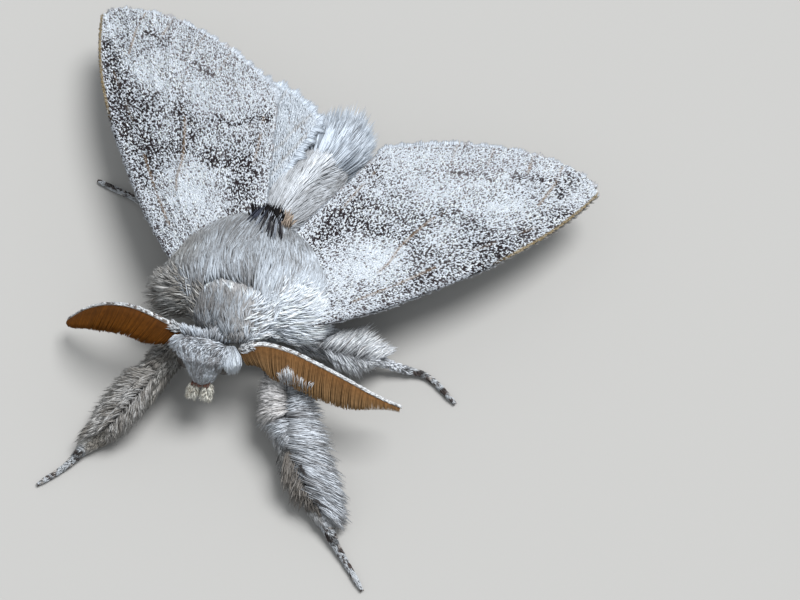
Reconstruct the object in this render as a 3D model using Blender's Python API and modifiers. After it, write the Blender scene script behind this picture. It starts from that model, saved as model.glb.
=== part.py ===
"""Pale tussock moth, male, life size, standing with its wings half spread.

Still model. The whole animal is drawn in millimetres with the floor at z = 0,
the head towards -Y and the moth's own left side towards +X, and is then set
with the middle of its box over the origin. Every solid is the outer shape of
a part of the animal, out to the tips of its coat.
"""
import math

import bmesh
import bpy
import numpy as np
from mathutils import Vector

MM = 0.001
GAP = 0.3                 # air between neighbouring parts
NAME = "pale_tussock_moth"

# ---------------------------------------------------------------- wings
WING_T = 0.5              # thickness of each wing
FW_SPAN = 21.95           # forewing, hinge to apex
FW_ANGLE = 10.0           # where the inner margin meets the outer margin
FW_CHORD = 8.9            # trailing depth at that corner
FW_COSTA = 2.55           # bow of the leading edge
HW_SPAN = 14.8            # hindwing, hinge to apex
HW_ANGLE = 8.4
HW_CHORD = 8.7
HW_DROP = 0.86            # hindwing lies this far under the forewing
# per side: hinge |x|, hinge y, hinge z, yaw of the hinge-apex line (degrees
# out from +Y), slope outward, slope rearward
FORE = {
    "right": (2.36, -0.36, 5.3, 43.9, -0.075, -0.003),
    "left": (3.60, -1.08, 5.15, 45.2, -0.009, -0.081),
}
HIND = {
    "right": (2.10, 1.00, 31.5),
    "left": (3.30, 0.60, 49.0),
}
SIGN = {"right": -1.0, "left": 1.0}

# ---------------------------------------------------------------- trunk
THORAX_C = (0.15, 0.05, 4.25)
THORAX_HALF_W = 5.75
THORAX_FRONT = 4.15
THORAX_REAR = 4.15
THORAX_UP = 3.75
THORAX_DOWN = 3.15
COLLAR_C = (0.45, -2.7, 5.05)
COLLAR_R = (2.75, 2.6, 2.55)
ABDOMEN_LINE = ((0.1, 3.2, 3.05), (0.2, 5.6, 3.05), (0.85, 8.8, 2.85),
                (2.05, 12.3, 2.45))
ABDOMEN_HALF_W = 2.4
ABDOMEN_HALF_H = 2.0
TUFT_BASE = (1.75, 11.0, 2.45)
TUFT_LEN = 4.45

# ---------------------------------------------------------------- head
CROWN = (-0.36, -4.85, 5.35)
MOUTH = (0.10, -7.45, 3.15)
HEAD_HALF_W = 2.05
HEAD_HALF_D = 1.35
EYE_R = 0.70
EYE_SET = 1.18            # eye centre out from the head's middle line
PALP_LEN = 1.25
PALP_R = 0.36

# rachis of each antenna, base to tip
RACHIS = {
    "left": ((1.75, -5.05, 4.85), (3.02, -4.33, 5.1), (4.83, -4.15, 5.15),
             (6.88, -4.28, 4.9), (8.93, -4.46, 4.5), (10.65, -4.62, 4.1),
             (12.42, -4.58, 3.6)),
    "right": ((-2.09, -5.15, 4.85), (-3.45, -5.0, 5.15), (-5.30, -4.86, 5.2),
              (-7.05, -4.95, 4.65), (-8.80, -5.25, 3.3), (-10.35, -5.75, 1.45)),
}
RAMUS = {"left": (0.28, -0.78, -0.56), "right": (-0.10, -0.80, -0.60)}
RAMUS_LEN = 1.95
RACHIS_R = 0.30

# Each leg: points along it with the coat's reach (outer side, inner side,
# up and down), from the trunk to the claws.
LEGS = {
    "foreleg_left": (
        (3.0, -4.4, 2.2, 1.3, 1.2, 1.10), (4.7, -5.9, 2.25, 1.9, 1.6, 1.15),
        (5.8, -7.3, 2.2, 2.4, 2.2, 1.20), (6.6, -8.6, 1.95, 1.9, 1.3, 1.05),
        (7.4, -9.6, 1.65, 2.5, 1.5, 1.05), (8.4, -10.6, 1.3, 2.3, 1.3, 0.9), (9.4, -11.6, 0.95, 1.7, 0.8, 0.7),
        (10.9, -13.0, 0.45, 0.7, 0.32, 0.42), (12.4, -14.1, 0.22, 0.3, 0.3, 0.29),
        (14.0, -15.4, 0.2, 0.26, 0.26, 0.27)),
    "foreleg_right": (
        (-2.5, -4.2, 2.2, 1.2, 1.1, 1.10), (-2.95, -6.0, 2.3, 1.5, 1.2, 1.15),
        (-3.3, -7.5, 2.35, 1.5, 1.2, 1.10), (-3.8, -8.9, 2.0, 2.1, 1.4, 1.10),
        (-4.3, -10.3, 1.55, 2.1, 1.2, 0.95),
        (-4.9, -11.8, 1.0, 1.7, 0.9, 0.75), (-5.7, -13.2, 0.5, 0.9, 0.4, 0.45),
        (-6.5, -14.7, 0.22, 0.3, 0.3, 0.29), (-7.62, -16.37, 0.2, 0.26, 0.26, 0.27)),
    "midleg_left": (
        (3.2, -1.6, 2.1, 1.3, 1.3, 1.10), (5.4, -1.5, 2.35, 1.5, 1.5, 1.15),
        (7.6, -1.3, 2.0, 1.4, 1.4, 1.05), (9.8, -1.1, 1.15, 1.1, 1.1, 0.75),
        (11.2, -0.85, 0.6, 0.5, 0.5, 0.42), (12.8, -0.7, 0.22, 0.3, 0.3, 0.29),
        (15.06, -1.8, 0.2, 0.26, 0.26, 0.27)),
    "midleg_right": (
        (-2.9, 0.0, 2.1, 1.2, 1.2, 1.10), (-4.6, 1.3, 2.35, 1.2, 1.2, 1.10),
        (-6.4, 2.9, 1.9, 1.1, 1.1, 0.95), (-8.4, 4.1, 1.0, 0.85, 0.85, 0.65),
        (-10.4, 4.5, 0.42, 0.36, 0.36, 0.36), (-12.1, 4.75, 0.22, 0.3, 0.3, 0.29),
        (-13.6, 4.94, 0.2, 0.26, 0.26, 0.27)),
    "hindleg_left": (
        (2.9, 1.6, 1.9, 1.1, 1.1, 0.95), (4.9, 3.1, 2.0, 1.2, 1.2, 1.00),
        (7.0, 5.6, 1.7, 1.1, 1.1, 0.90), (8.9, 8.2, 0.9, 0.8, 0.8, 0.65),
        (10.0, 9.8, 0.4, 0.36, 0.36, 0.34), (10.9, 11.2, 0.22, 0.3, 0.3, 0.29),
        (11.7, 12.6, 0.2, 0.26, 0.26, 0.27)),
    "hindleg_right": (
        (-2.5, 2.4, 1.9, 1.0, 1.0, 0.95), (-3.9, 4.4, 2.0, 1.1, 1.1, 1.00),
        (-5.2, 7.0, 1.7, 1.0, 1.0, 0.90), (-6.4, 9.4, 0.9, 0.8, 0.8, 0.65),
        (-7.2, 11.0, 0.4, 0.36, 0.36, 0.34), (-7.9, 12.4, 0.22, 0.3, 0.3, 0.29),
        (-8.5, 13.8, 0.2, 0.26, 0.26, 0.27)),
}

# colours of the parts: base colour, roughness
LOOKS = {
    "thorax": ((0.56, 0.55, 0.54), 0.9), "collar": ((0.48, 0.47, 0.46), 0.9),
    "abdomen": ((0.60, 0.58, 0.57), 0.8), "tail_tuft": ((0.78, 0.80, 0.84), 0.9),
    "head": ((0.62, 0.63, 0.66), 0.9), "eye": ((0.012, 0.010, 0.009), 0.15),
    "palp": ((0.66, 0.62, 0.52), 0.9), "antenna": ((0.42, 0.20, 0.06), 0.7),
    "forewing": ((0.62, 0.65, 0.68), 0.85), "hindwing": ((0.72, 0.74, 0.77), 0.85),
    "leg": ((0.50, 0.50, 0.50), 0.9),
}


def clear():
    for o in list(bpy.data.objects):
        bpy.data.objects.remove(o, do_unlink=True)
    for c in list(bpy.data.collections):
        bpy.data.collections.remove(c)


def collection(name):
    c = bpy.data.collections.new(name)
    bpy.context.scene.collection.children.link(c)
    return c


def material(kind):
    m = bpy.data.materials.get(kind)
    if m is None:
        colour, rough = LOOKS[kind]
        m = bpy.data.materials.new(kind)
        m.use_nodes = True
        b = m.node_tree.nodes["Principled BSDF"]
        b.inputs["Base Color"].default_value = (*colour, 1.0)
        b.inputs["Roughness"].default_value = rough
        b.inputs["Metallic"].default_value = 0.0
    return m


def smooth(x, a, b):
    t = min(max((x - a) / (b - a), 0.0), 1.0)
    return t * t * (3.0 - 2.0 * t)


def spline(points, t):
    """Catmull-Rom through rows of numbers, t from 0 to 1."""
    p = np.asarray(points, dtype=float)
    n = len(p) - 1
    s = min(max(t, 0.0), 1.0) * n
    i = min(int(s), n - 1)
    f = s - i
    p0 = p[i - 1] if i > 0 else 2 * p[0] - p[1]
    p3 = p[i + 2] if i + 2 <= n else 2 * p[n] - p[n - 1]
    p1, p2 = p[i], p[i + 1]
    return 0.5 * (2 * p1 + (p2 - p0) * f + (2 * p0 - 5 * p1 + 4 * p2 - p3) * f ** 2
                  + (3 * p1 - p0 - 3 * p2 + p3) * f ** 3)


def unit(v):
    v = np.asarray(v, dtype=float)
    return v / max(np.linalg.norm(v), 1e-9)


def finish(name, bm, coll, kind):
    """Millimetres to metres, outward faces, smooth shading."""
    bmesh.ops.recalc_face_normals(bm, faces=bm.faces)
    closed = all(e.is_manifold for e in bm.edges)
    if closed and bm.calc_volume(signed=True) < 0.0:
        bmesh.ops.reverse_faces(bm, faces=bm.faces)
    for v in bm.verts:
        v.co *= MM
    me = bpy.data.meshes.new(name)
    bm.to_mesh(me)
    bm.free()
    me.shade_smooth()
    ob = bpy.data.objects.new(name, me)
    coll.objects.link(ob)
    if kind:
        me.materials.append(material(kind))
    return ob


def moulded(name, seg, rings, shape, coll, kind):
    """A sphere whose points are moved by shape(t, a): t runs 0 to 1 from
    pole to pole, a is the angle round the axis."""
    bm = bmesh.new()
    bmesh.ops.create_uvsphere(bm, u_segments=seg, v_segments=rings, radius=1.0)
    for v in bm.verts:
        t = math.acos(min(max(v.co.z, -1.0), 1.0)) / math.pi
        a = math.atan2(v.co.y, v.co.x)
        v.co = Vector(shape(t, a))
    return finish(name, bm, coll, kind)


# ------------------------------------------------------------ wing surfaces
def fw_lead(a):
    if a < 6.0:
        return -FW_COSTA + 0.7 * ((6.0 - a) / 6.0) ** 2
    return -FW_COSTA * (1.0 - ((a - 6.0) / (FW_SPAN - 6.0)) ** 3)


def fw_trail(a):
    if a < FW_ANGLE:
        root = 4.0 + 0.49 * a
        return root - 2.6 * (1.0 - min(a / 2.2, 1.0)) ** 2
    x = min((a - FW_ANGLE) / (FW_SPAN - FW_ANGLE), 1.0)
    return FW_CHORD * (1.0 - x ** 1.3) ** 0.53


def hw_lead(a):
    return -0.8 - 1.7 * (1.0 - min(abs(a - 7.0) / 7.8, 1.0) ** 2)


def hw_trail(a):
    if a < HW_ANGLE:
        return 1.0 + 0.80 * a
    x = min((a - HW_ANGLE) / (HW_SPAN - HW_ANGLE), 1.0)
    return -0.8 + HW_CHORD * (1.0 - x ** 1.7) ** 0.62


def fw_point(side, a, b):
    hx, hy, hz, yaw, kx, ky = FORE[side]
    r = math.radians(yaw)
    ax = hx + a * math.sin(r) - b * math.cos(r)
    y = hy + a * math.cos(r) + b * math.sin(r)
    return ax, y


def wing_height(side, ax, y):
    """The forewing's mid surface over a place, |x| and y."""
    hx, hy, hz, yaw, kx, ky = FORE[side]
    r = math.radians(yaw)
    a = (ax - hx) * math.sin(r) + (y - hy) * math.cos(r)
    b = -(ax - hx) * math.cos(r) + (y - hy) * math.sin(r)
    z = hz + kx * (ax - hx) + ky * (y - hy)
    z += 0.25 * math.exp(-((b - 2.5) / 4.0) ** 2) * smooth(a, 1.0, 8.0) - 0.12
    z -= 0.25 * smooth(a, 14.0, 23.0)
    z -= 0.15 * smooth(-b, 0.5, 3.0) * smooth(a, 2.0, 6.0)
    return z


def wing_sheet(name, side, hind, nu, nv, coll, kind, thick, margin=0.0):
    s = SIGN[side]
    bm = bmesh.new()
    bmesh.ops.create_grid(bm, x_segments=nu, y_segments=nv, size=1.0)
    span = HW_SPAN if hind else FW_SPAN
    for v in bm.verts:
        u = 0.5 + 0.5 * v.co.x
        w = 0.5 + 0.5 * v.co.y
        # columns crowd towards the apex, where the edges close
        a = (span - 0.12) * math.sin(u * math.pi / 2) ** 1.15
        lo, hi = (hw_lead(a), hw_trail(a)) if hind else (fw_lead(a), fw_trail(a))
        if margin:
            a = a + margin * (2 * u - 1)
            lo, hi = lo - margin, hi + margin
        b = lo + (hi - lo) * w
        if hind:
            hx, hy, yaw = HIND[side]
            r = math.radians(yaw)
            ax = hx + a * math.sin(r) - b * math.cos(r)
            y = hy + a * math.cos(r) + b * math.sin(r)
            z = wing_height(side, ax, y) - HW_DROP - 0.010 * max(b - 3.0, 0.0) ** 2
        else:
            ax, y = fw_point(side, a, b)
            z = wing_height(side, ax, y)
        v.co = Vector((s * ax, y, z))
    ob = finish(name, bm, coll, kind)
    m = ob.modifiers.new("thickness", "SOLIDIFY")
    m.thickness = thick * MM
    m.offset = 0.0
    m.use_even_offset = True
    return ob


# ------------------------------------------------------------ body surfaces
def thorax_shape(t, a):
    """Dome of long hair with a shallow belly; locks run back from the neck."""
    # axis of the sphere along Y: t = 0 at the rear, 1 at the neck
    ny = math.cos(math.pi * t)
    q = math.sin(math.pi * t)
    q **= 0.80 if ny < 0 else 0.95
    nx, nz = q * math.cos(a), q * math.sin(a)
    ry = THORAX_REAR if ny > 0 else THORAX_FRONT
    rz = THORAX_UP if nz > 0 else THORAX_DOWN
    # shoulders: the coat stands out widest a little under the wings
    rx = THORAX_HALF_W * (1.0 - 0.16 * max(nz, 0.0) - 0.05 * max(-nz, 0.0))
    rx *= 1.0 - 0.12 * smooth(ny, 0.15, 0.95)
    rx *= 1.0 + 0.07 * smooth(-ny, 0.1, 0.6)
    lock = 1.0 + 0.018 * math.sin(9 * a + 5.0 * ny) * q ** 2 \
        + 0.012 * math.sin(15 * a - 7.0 * ny) * q ** 2
    x = THORAX_C[0] + rx * nx * lock
    y = THORAX_C[1] + ry * ny
    z = THORAX_C[2] + rz * nz * lock
    z += 0.16 * (y - THORAX_C[1]) * max(nz, 0.0) * (1.0 if y < 0 else 0.45)
    # tuft of hair that stands over the base of the abdomen
    z += 0.75 * math.exp(-((x - 0.3) / 1.2) ** 2 - ((y - 3.1) / 0.9) ** 2) * max(nz, 0.0)
    # long hair of the shoulder covers over the wing bases
    z += 0.30 * math.exp(-((abs(x - 0.15) - 4.0) / 1.1) ** 2 - ((y + 0.4) / 2.4) ** 2) * max(nz, 0.0)
    return x, y, max(z, 1.15)


def collar_shape(t, a):
    ny = math.cos(math.pi * t)
    q = math.sin(math.pi * t)
    nx, nz = q * math.cos(a), q * math.sin(a)
    lock = 1.0 + 0.02 * math.sin(11 * a + 3.0 * ny) * q ** 2
    x = COLLAR_C[0] + COLLAR_R[0] * nx * lock
    y = COLLAR_C[1] + COLLAR_R[1] * ny
    z = COLLAR_C[2] + COLLAR_R[2] * nz * lock
    return x, y, z


def abdomen_shape(t, a):
    p = spline(ABDOMEN_LINE, t)
    d = unit(spline(ABDOMEN_LINE, min(t + 0.02, 1.0)) - spline(ABDOMEN_LINE, max(t - 0.02, 0.0)))
    side = unit(np.cross(d, (0.0, 0.0, 1.0)))
    up = np.cross(side, d)
    full = math.sqrt(max(1.0 - abs(2 * t - 1.0) ** 4.5, 0.0))
    w = ABDOMEN_HALF_W * full * (1.0 - 0.22 * smooth(t, 0.35, 1.0))
    h = ABDOMEN_HALF_H * full * (1.0 - 0.22 * smooth(t, 0.35, 1.0))
    ridge = 1.0 + 0.03 * math.cos(2 * (a - math.pi / 2)) \
        + 0.015 * math.sin(8 * a + 22.0 * t)
    q = p + side * (w * math.cos(a) * ridge) + up * (h * math.sin(a) * ridge)
    return q[0], q[1], max(q[2], 0.75)


def tuft_shape(t, a):
    """Fan of long locks that ends the abdomen."""
    base = np.array(TUFT_BASE)
    back = unit((0.0, 1.0, 0.06))
    side = np.array((1.0, 0.0, 0.0))
    up = np.array((0.0, 0.0, 1.0))
    grow = smooth(t, 0.25, 0.75)
    spread = math.sin(math.pi * t ** 0.85) ** 0.7
    lock = 0.5 + 0.5 * math.cos(9 * a)
    length = TUFT_LEN * (t + 0.17 * (lock - 0.5) * grow * spread)
    w = 2.0 * spread * (1.0 + 0.16 * grow)
    h = 1.5 * spread
    q = base + back * (length - 0.2) + side * (w * math.cos(a)) + up * (h * math.sin(a))
    return q[0], q[1], max(q[2], 0.6)


def head_frame():
    c, m = np.array(CROWN), np.array(MOUTH)
    down = unit(m - c)
    side = unit(np.cross(down, (0.0, 0.0, 1.0)))
    if side[0] < 0:
        side = -side
    face = unit(np.cross(side, down))
    if face[2] < 0:
        face = -face
    return c, m, down, side, face


def head_shape(t, a):
    """Tufted crown, wide across the antenna bases, narrowing to the mouth."""
    c, m, down, side, face = head_frame()
    length = np.linalg.norm(m - c)
    full = math.sqrt(max(1.0 - abs(2 * t - 1.0) ** 2.8, 0.0))
    w = HEAD_HALF_W * full * (1.0 - 0.46 * smooth(t, 0.42, 0.95))
    # tufts round the antenna bases
    w += 0.30 * math.exp(-((t - 0.30) / 0.13) ** 2)
    h = HEAD_HALF_D * full * (1.0 - 0.30 * smooth(t, 0.45, 0.95))
    lock = 1.0 + 0.035 * math.cos(7 * a + 16.0 * t)
    q = c + down * (length * t) + side * (w * math.cos(a) * lock) \
        + face * (h * math.sin(a) * lock)
    return q[0], q[1], q[2]


def eye_centre(side_name):
    c, m, down, side, face = head_frame()
    length = np.linalg.norm(m - c)
    return c + down * (length * 0.56) - face * 0.28 + side * (SIGN[side_name] * EYE_SET)


def palp_shape(side_name):
    c, m, down, side, face = head_frame()
    s = SIGN[side_name]
    start = m - down * 0.25 + side * (0.42 * s) - face * 0.05
    end = m + unit((0.05, -1.0, -0.55)) * PALP_LEN * 0.62 + side * (0.46 * s)
    d = unit(end - start)
    lat = unit(np.cross(d, (0.0, 0.0, 1.0)))
    up = np.cross(lat, d)

    def shape(t, a):
        full = math.sqrt(max(1.0 - abs(2 * t - 1.0) ** 2.2, 0.0))
        r = PALP_R * full * (1.0 + 0.06 * math.cos(3 * a + 9 * t))
        q = start + (end - start) * t + lat * (r * 0.92 * math.cos(a)) + up * (r * 1.25 * math.sin(a))
        return q[0], q[1], q[2]
    return shape


def ramus_length(t):
    """Length of the comb teeth along the antenna."""
    return RAMUS_LEN * (0.25 + 0.75 * smooth(t, 0.0, 0.24)) * (1.0 - 0.90 * smooth(t, 0.46, 1.02))


def antenna_shape(side_name):
    line = RACHIS[side_name]
    hang = unit(RAMUS[side_name])

    def shape(t, a):
        p = spline(line, t)
        d = unit(spline(line, min(t + 0.02, 1.0)) - spline(line, max(t - 0.02, 0.0)))
        low = unit(hang - d * float(np.dot(hang, d)) * 0.7)
        across = unit(np.cross(d, low))
        full = (1.0 - abs(2 * t - 1.0) ** 9) ** 0.5
        reach = (ramus_length(t) + 2 * RACHIS_R) * max(full, 0.0)
        deep = 0.5 - 0.5 * math.cos(a)            # 0 at the rachis, 1 at the tips
        thick = (RACHIS_R + 0.16 * deep * smooth(reach, 0.8, 2.4)) * full
        sq = math.copysign(abs(math.sin(a)) ** 0.7, math.sin(a))
        q = p - low * (RACHIS_R * full) + low * (reach * deep) + across * (thick * sq)
        return q[0], q[1], q[2]
    return shape


def leg_shape(rows):
    def shape(t, a):
        row = spline(rows, t)
        p = row[:3]
        d = unit(spline(rows, min(t + 0.015, 1.0))[:3] - spline(rows, max(t - 0.015, 0.0))[:3])
        # the outer side of a foreleg, the rear side of the others
        side = unit(np.cross(d, (0.0, 0.0, 1.0))) * (-1.0 if rows[-1][0] > 0 else 1.0)
        up = unit(np.cross(side, d))
        if up[2] < 0:
            up = -up
        full = (1.0 - abs(2 * t - 1.0) ** 14) ** 0.5
        w = (row[3] if math.cos(a) > 0 else row[4]) * full
        h = row[5] * full
        coat = smooth(w, 0.45, 1.0)
        # locks of the leg's fringe, each lifting towards its tip
        saw = (t * 13.0 + 0.35 * math.cos(2 * a)) % 1.0
        lock = 1.0 + coat * 0.13 * (saw - 0.5)
        q = p + side * (w * math.cos(a) * lock) + up * (h * math.sin(a) * lock)
        return q[0], q[1], max(q[2], 0.0)
    return shape


# ------------------------------------------------------------ cutting
def settled(ob):
    """The object's shape with its modifiers, as a new mesh."""
    bpy.context.view_layer.update()
    dg = bpy.context.evaluated_depsgraph_get()
    return bpy.data.meshes.new_from_object(ob.evaluated_get(dg))


def grown(ob, name, by, coll):
    """A copy of a part, larger all round by the gap, to cut its neighbours."""
    me = settled(ob)
    bm = bmesh.new()
    bm.from_mesh(me)
    bpy.data.meshes.remove(me)
    bmesh.ops.remove_doubles(bm, verts=bm.verts, dist=1e-7)
    bm.normal_update()
    moves = [v.normal.copy() * (by * MM) for v in bm.verts]
    for v, m in zip(bm.verts, moves):
        v.co += m
    out = bpy.data.meshes.new(name)
    bm.to_mesh(out)
    bm.free()
    c = bpy.data.objects.new(name, out)
    coll.objects.link(c)
    c.hide_render = True
    c.display_type = "WIRE"
    return c


def cut(ob, *cutters):
    for c in cutters:
        m = ob.modifiers.new("part " + c.name, "BOOLEAN")
        m.operation = "DIFFERENCE"
        m.solver = "EXACT"
        m.object = c


def main():
    clear()
    parts = collection(NAME)
    tools = collection("cutters")

    thorax = moulded("thorax", 28, 16, thorax_shape, parts, "thorax")
    collar = moulded("collar", 20, 12, collar_shape, parts, "collar")
    abdomen = moulded("abdomen", 18, 14, abdomen_shape, parts, "abdomen")
    tuft = moulded("tail_tuft", 27, 9, tuft_shape, parts, "tail_tuft")
    head = moulded("head", 20, 12, head_shape, parts, "head")

    eyes, palps, antennae = {}, {}, {}
    for s in ("left", "right"):
        c = eye_centre(s)
        eyes[s] = moulded("eye_" + s, 12, 8, lambda t, a, c=c: (
            c[0] + EYE_R * math.sin(math.pi * t) * math.cos(a),
            c[1] + EYE_R * math.sin(math.pi * t) * math.sin(a),
            c[2] + EYE_R * 1.08 * math.cos(math.pi * t)), parts, "eye")
        palps[s] = moulded("palp_" + s, 10, 7, palp_shape(s), parts, "palp")
        antennae[s] = moulded("antenna_" + s, 8, 20, antenna_shape(s), parts, "antenna")

    legs = {n: moulded(n, 10, 24, leg_shape(rows), parts, "leg") for n, rows in LEGS.items()}

    wings, slots = {}, []
    for s in ("left", "right"):
        wings["forewing_" + s] = wing_sheet("forewing_" + s, s, False, 17, 6, parts, "forewing", WING_T)
        wings["hindwing_" + s] = wing_sheet("hindwing_" + s, s, True, 13, 6, parts, "hindwing", WING_T)
        for hind in (False, True):
            c = wing_sheet("slot_" + ("hind_" if hind else "fore_") + s, s, hind, 12, 5, tools, None,
                           WING_T + 2 * GAP + 0.06, margin=GAP + 0.05)
            c.hide_render = True
            c.display_type = "WIRE"
            slots.append(c)

    # column of the thorax that the wings stop short of
    def column(name, rx, ry, cx=0.45, cy=-0.2):
        bm = bmesh.new()
        bmesh.ops.create_cone(bm, cap_ends=True, segments=32, radius1=1.0, radius2=1.0, depth=12.0)
        for v in bm.verts:
            v.co = Vector((cx + v.co.x * rx, cy + v.co.y * ry, v.co.z + 5.0))
        c = finish(name, bm, tools, None)
        c.hide_render = True
        c.display_type = "WIRE"
        return c

    wing_stop = column("wing_stop", 2.7, 3.9)
    slot_stop = column("slot_stop", 2.7 - GAP - 0.06, 3.9 - GAP - 0.06)
    for w in wings.values():
        cut(w, wing_stop)
    for c in slots:
        cut(c, slot_stop)

    g = {}
    for n, o in (("thorax", thorax), ("collar", collar), ("abdomen", abdomen), ("head", head),
                 ("eye_left", eyes["left"]), ("eye_right", eyes["right"]),
                 ("antenna_left", antennae["left"]), ("antenna_right", antennae["right"]),
                 *legs.items()):
        g[n] = grown(o, "around_" + n, GAP + 0.03, tools)

    cut(thorax, *slots)
    cut(collar, g["thorax"])
    cut(abdomen, g["thorax"], *slots)
    cut(tuft, g["abdomen"])
    cut(head, g["thorax"], g["collar"], g["eye_left"], g["eye_right"])
    for p in palps.values():
        cut(p, g["head"])
    for a in antennae.values():
        cut(a, g["head"])
    cut(antennae["left"], g["collar"])
    for n, o in legs.items():
        cut(o, g["thorax"])
        if n.startswith("foreleg"):
            cut(o, g["head"], g["antenna_" + n.split("_")[1]])
            cut(o, g["eye_" + n.split("_")[1]])
    for s in ("left", "right"):
        cut(wings["hindwing_" + s], g["abdomen"])

    # stand the moth with the middle of its box over the origin
    bpy.context.view_layer.update()
    dg = bpy.context.evaluated_depsgraph_get()
    low, high = np.full(3, 1e9), np.full(3, -1e9)
    for o in parts.objects:
        for v in o.evaluated_get(dg).data.vertices:
            low, high = np.minimum(low, v.co), np.maximum(high, v.co)
    shift = Vector((-(low[0] + high[0]) / 2, -(low[1] + high[1]) / 2, 0.0))
    for o in list(parts.objects) + list(tools.objects):
        o.location = shift


main()
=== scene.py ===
import math

import bpy
import numpy as np
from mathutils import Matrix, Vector


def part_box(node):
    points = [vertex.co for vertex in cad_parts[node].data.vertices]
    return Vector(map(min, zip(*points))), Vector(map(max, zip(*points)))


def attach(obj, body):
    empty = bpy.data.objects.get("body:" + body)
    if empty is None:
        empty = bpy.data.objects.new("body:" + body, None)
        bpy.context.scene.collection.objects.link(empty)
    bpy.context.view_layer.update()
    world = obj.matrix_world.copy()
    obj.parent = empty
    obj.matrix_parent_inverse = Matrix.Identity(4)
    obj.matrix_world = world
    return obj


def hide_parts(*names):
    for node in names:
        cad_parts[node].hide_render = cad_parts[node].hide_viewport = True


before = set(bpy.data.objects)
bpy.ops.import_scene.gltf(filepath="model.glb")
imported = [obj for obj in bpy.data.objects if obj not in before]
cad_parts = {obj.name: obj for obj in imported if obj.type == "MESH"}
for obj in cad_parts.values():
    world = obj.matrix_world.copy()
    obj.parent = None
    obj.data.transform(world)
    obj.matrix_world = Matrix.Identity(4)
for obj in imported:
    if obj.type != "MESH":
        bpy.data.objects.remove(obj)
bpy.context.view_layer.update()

# ------------------------------------------------------------------ frame
# The animal is drawn in millimetres, head towards -Y, its own left towards
# +X, floor at z = 0. SHIFT takes that drawing to the row frame.
MM = 0.001
_lo, _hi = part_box("eye_left")
EYE_LEFT = np.array((1.0292, -5.9195, 3.9047))
SHIFT = np.array([(_lo[i] + _hi[i]) / 2 / MM - EYE_LEFT[i] for i in range(3)])
SHIFT[2] = 0.0
SIGN = {"right": -1.0, "left": 1.0}


def unit(v):
    v = np.asarray(v, dtype=float)
    return v / np.maximum(np.linalg.norm(v, axis=-1, keepdims=True), 1e-9)


def smooth(x, a, b):
    t = np.clip((x - a) / (b - a), 0.0, 1.0)
    return t * t * (3.0 - 2.0 * t)


def bell(x, c, w):
    return np.exp(-((x - c) / w) ** 2)


def lerp(a, b, t):
    return a + (b - a) * t


def hashed(i, seed):
    h = (i[..., 0] * 73856093) ^ (i[..., 1] * 19349663) ^ (i[..., 2] * 83492791) ^ (seed * 2654435761)
    h = (h ^ (h >> 13)) * 1274126177
    h = h ^ (h >> 16)
    return (h & 0xFFFFFF) / float(0xFFFFFF) * 2.0 - 1.0


def noise(p, size, seed=0):
    """Smooth value noise from -1 to 1 at points p, cells of the given size."""
    q = np.asarray(p, dtype=float) / size + 1000.0
    i = np.floor(q).astype(np.int64)
    f = q - i
    f = f * f * (3 - 2 * f)
    out = 0.0
    for dx in (0, 1):
        wx = f[..., 0] if dx else 1 - f[..., 0]
        for dy in (0, 1):
            wy = f[..., 1] if dy else 1 - f[..., 1]
            for dz in (0, 1):
                wz = f[..., 2] if dz else 1 - f[..., 2]
                out = out + wx * wy * wz * hashed(i + np.array((dx, dy, dz)), seed)
    return out


def flat_noise(a, b, size, seed=0):
    return noise(np.stack([a, b, np.full_like(a, 0.37)], -1), size, seed)


def spline(points, t):
    """Catmull-Rom through rows of numbers for an array of t from 0 to 1."""
    p = np.asarray(points, dtype=float)
    p = np.concatenate([[2 * p[0] - p[1]], p, [2 * p[-1] - p[-2]]])
    n = len(p) - 3
    s = np.clip(t, 0.0, 1.0) * n
    i = np.minimum(s.astype(int), n - 1)
    f = (s - i)[:, None]
    p0, p1, p2, p3 = p[i], p[i + 1], p[i + 2], p[i + 3]
    return 0.5 * (2 * p1 + (p2 - p0) * f + (2 * p0 - 5 * p1 + 4 * p2 - p3) * f ** 2
                  + (3 * p1 - p0 - 3 * p2 + p3) * f ** 3)


# ------------------------------------------------------------------ meshes
made = []


def build(name, v, faces, colour=None, uv=None, shade=True):
    """A mesh object from arrays: v in mm, faces a list of (n, k) arrays."""
    v = np.asarray(v, dtype=np.float64)
    me = bpy.data.meshes.new(name)
    me.vertices.add(len(v))
    me.vertices.foreach_set("co", ((v + SHIFT) * MM).astype(np.float32).ravel())
    faces = [np.asarray(f) for f in faces if len(f)]
    loops = np.concatenate([f.ravel() for f in faces])
    sizes = np.concatenate([np.full(len(f), f.shape[1]) for f in faces])
    start = np.concatenate([[0], np.cumsum(sizes)[:-1]])
    me.loops.add(len(loops))
    me.loops.foreach_set("vertex_index", loops.astype(np.int32))
    me.polygons.add(len(sizes))
    me.polygons.foreach_set("loop_start", start.astype(np.int32))
    if colour is not None:
        c = np.ones((len(v), 4), np.float32)
        c[:, :3] = np.clip(colour, 0.0, 1.0)
        at = me.color_attributes.new("coat", "FLOAT_COLOR", "POINT")
        at.data.foreach_set("color", c.ravel())
    if uv is not None:
        layer = me.uv_layers.new(name="OFBake")
        layer.data.foreach_set("uv", np.asarray(uv)[loops].astype(np.float32).ravel())
    me.update(calc_edges=True)
    me.validate()
    if shade:
        me.shade_smooth()
    ob = bpy.data.objects.new(name, me)
    bpy.context.scene.collection.objects.link(ob)
    made.append(ob)
    return ob


def place(ob, mat, slot, *nodes):
    ob.data.materials.clear()
    ob.data.materials.append(mat)
    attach(ob, "root")
    if nodes:
        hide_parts(*nodes)
    return ob


# ------------------------------------------------------------------ materials
def new_mat(name):
    m = bpy.data.materials.new(name)
    m.use_nodes = True
    t = m.node_tree
    return m, t, t.nodes, t.links, t.nodes["Principled BSDF"]


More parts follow.
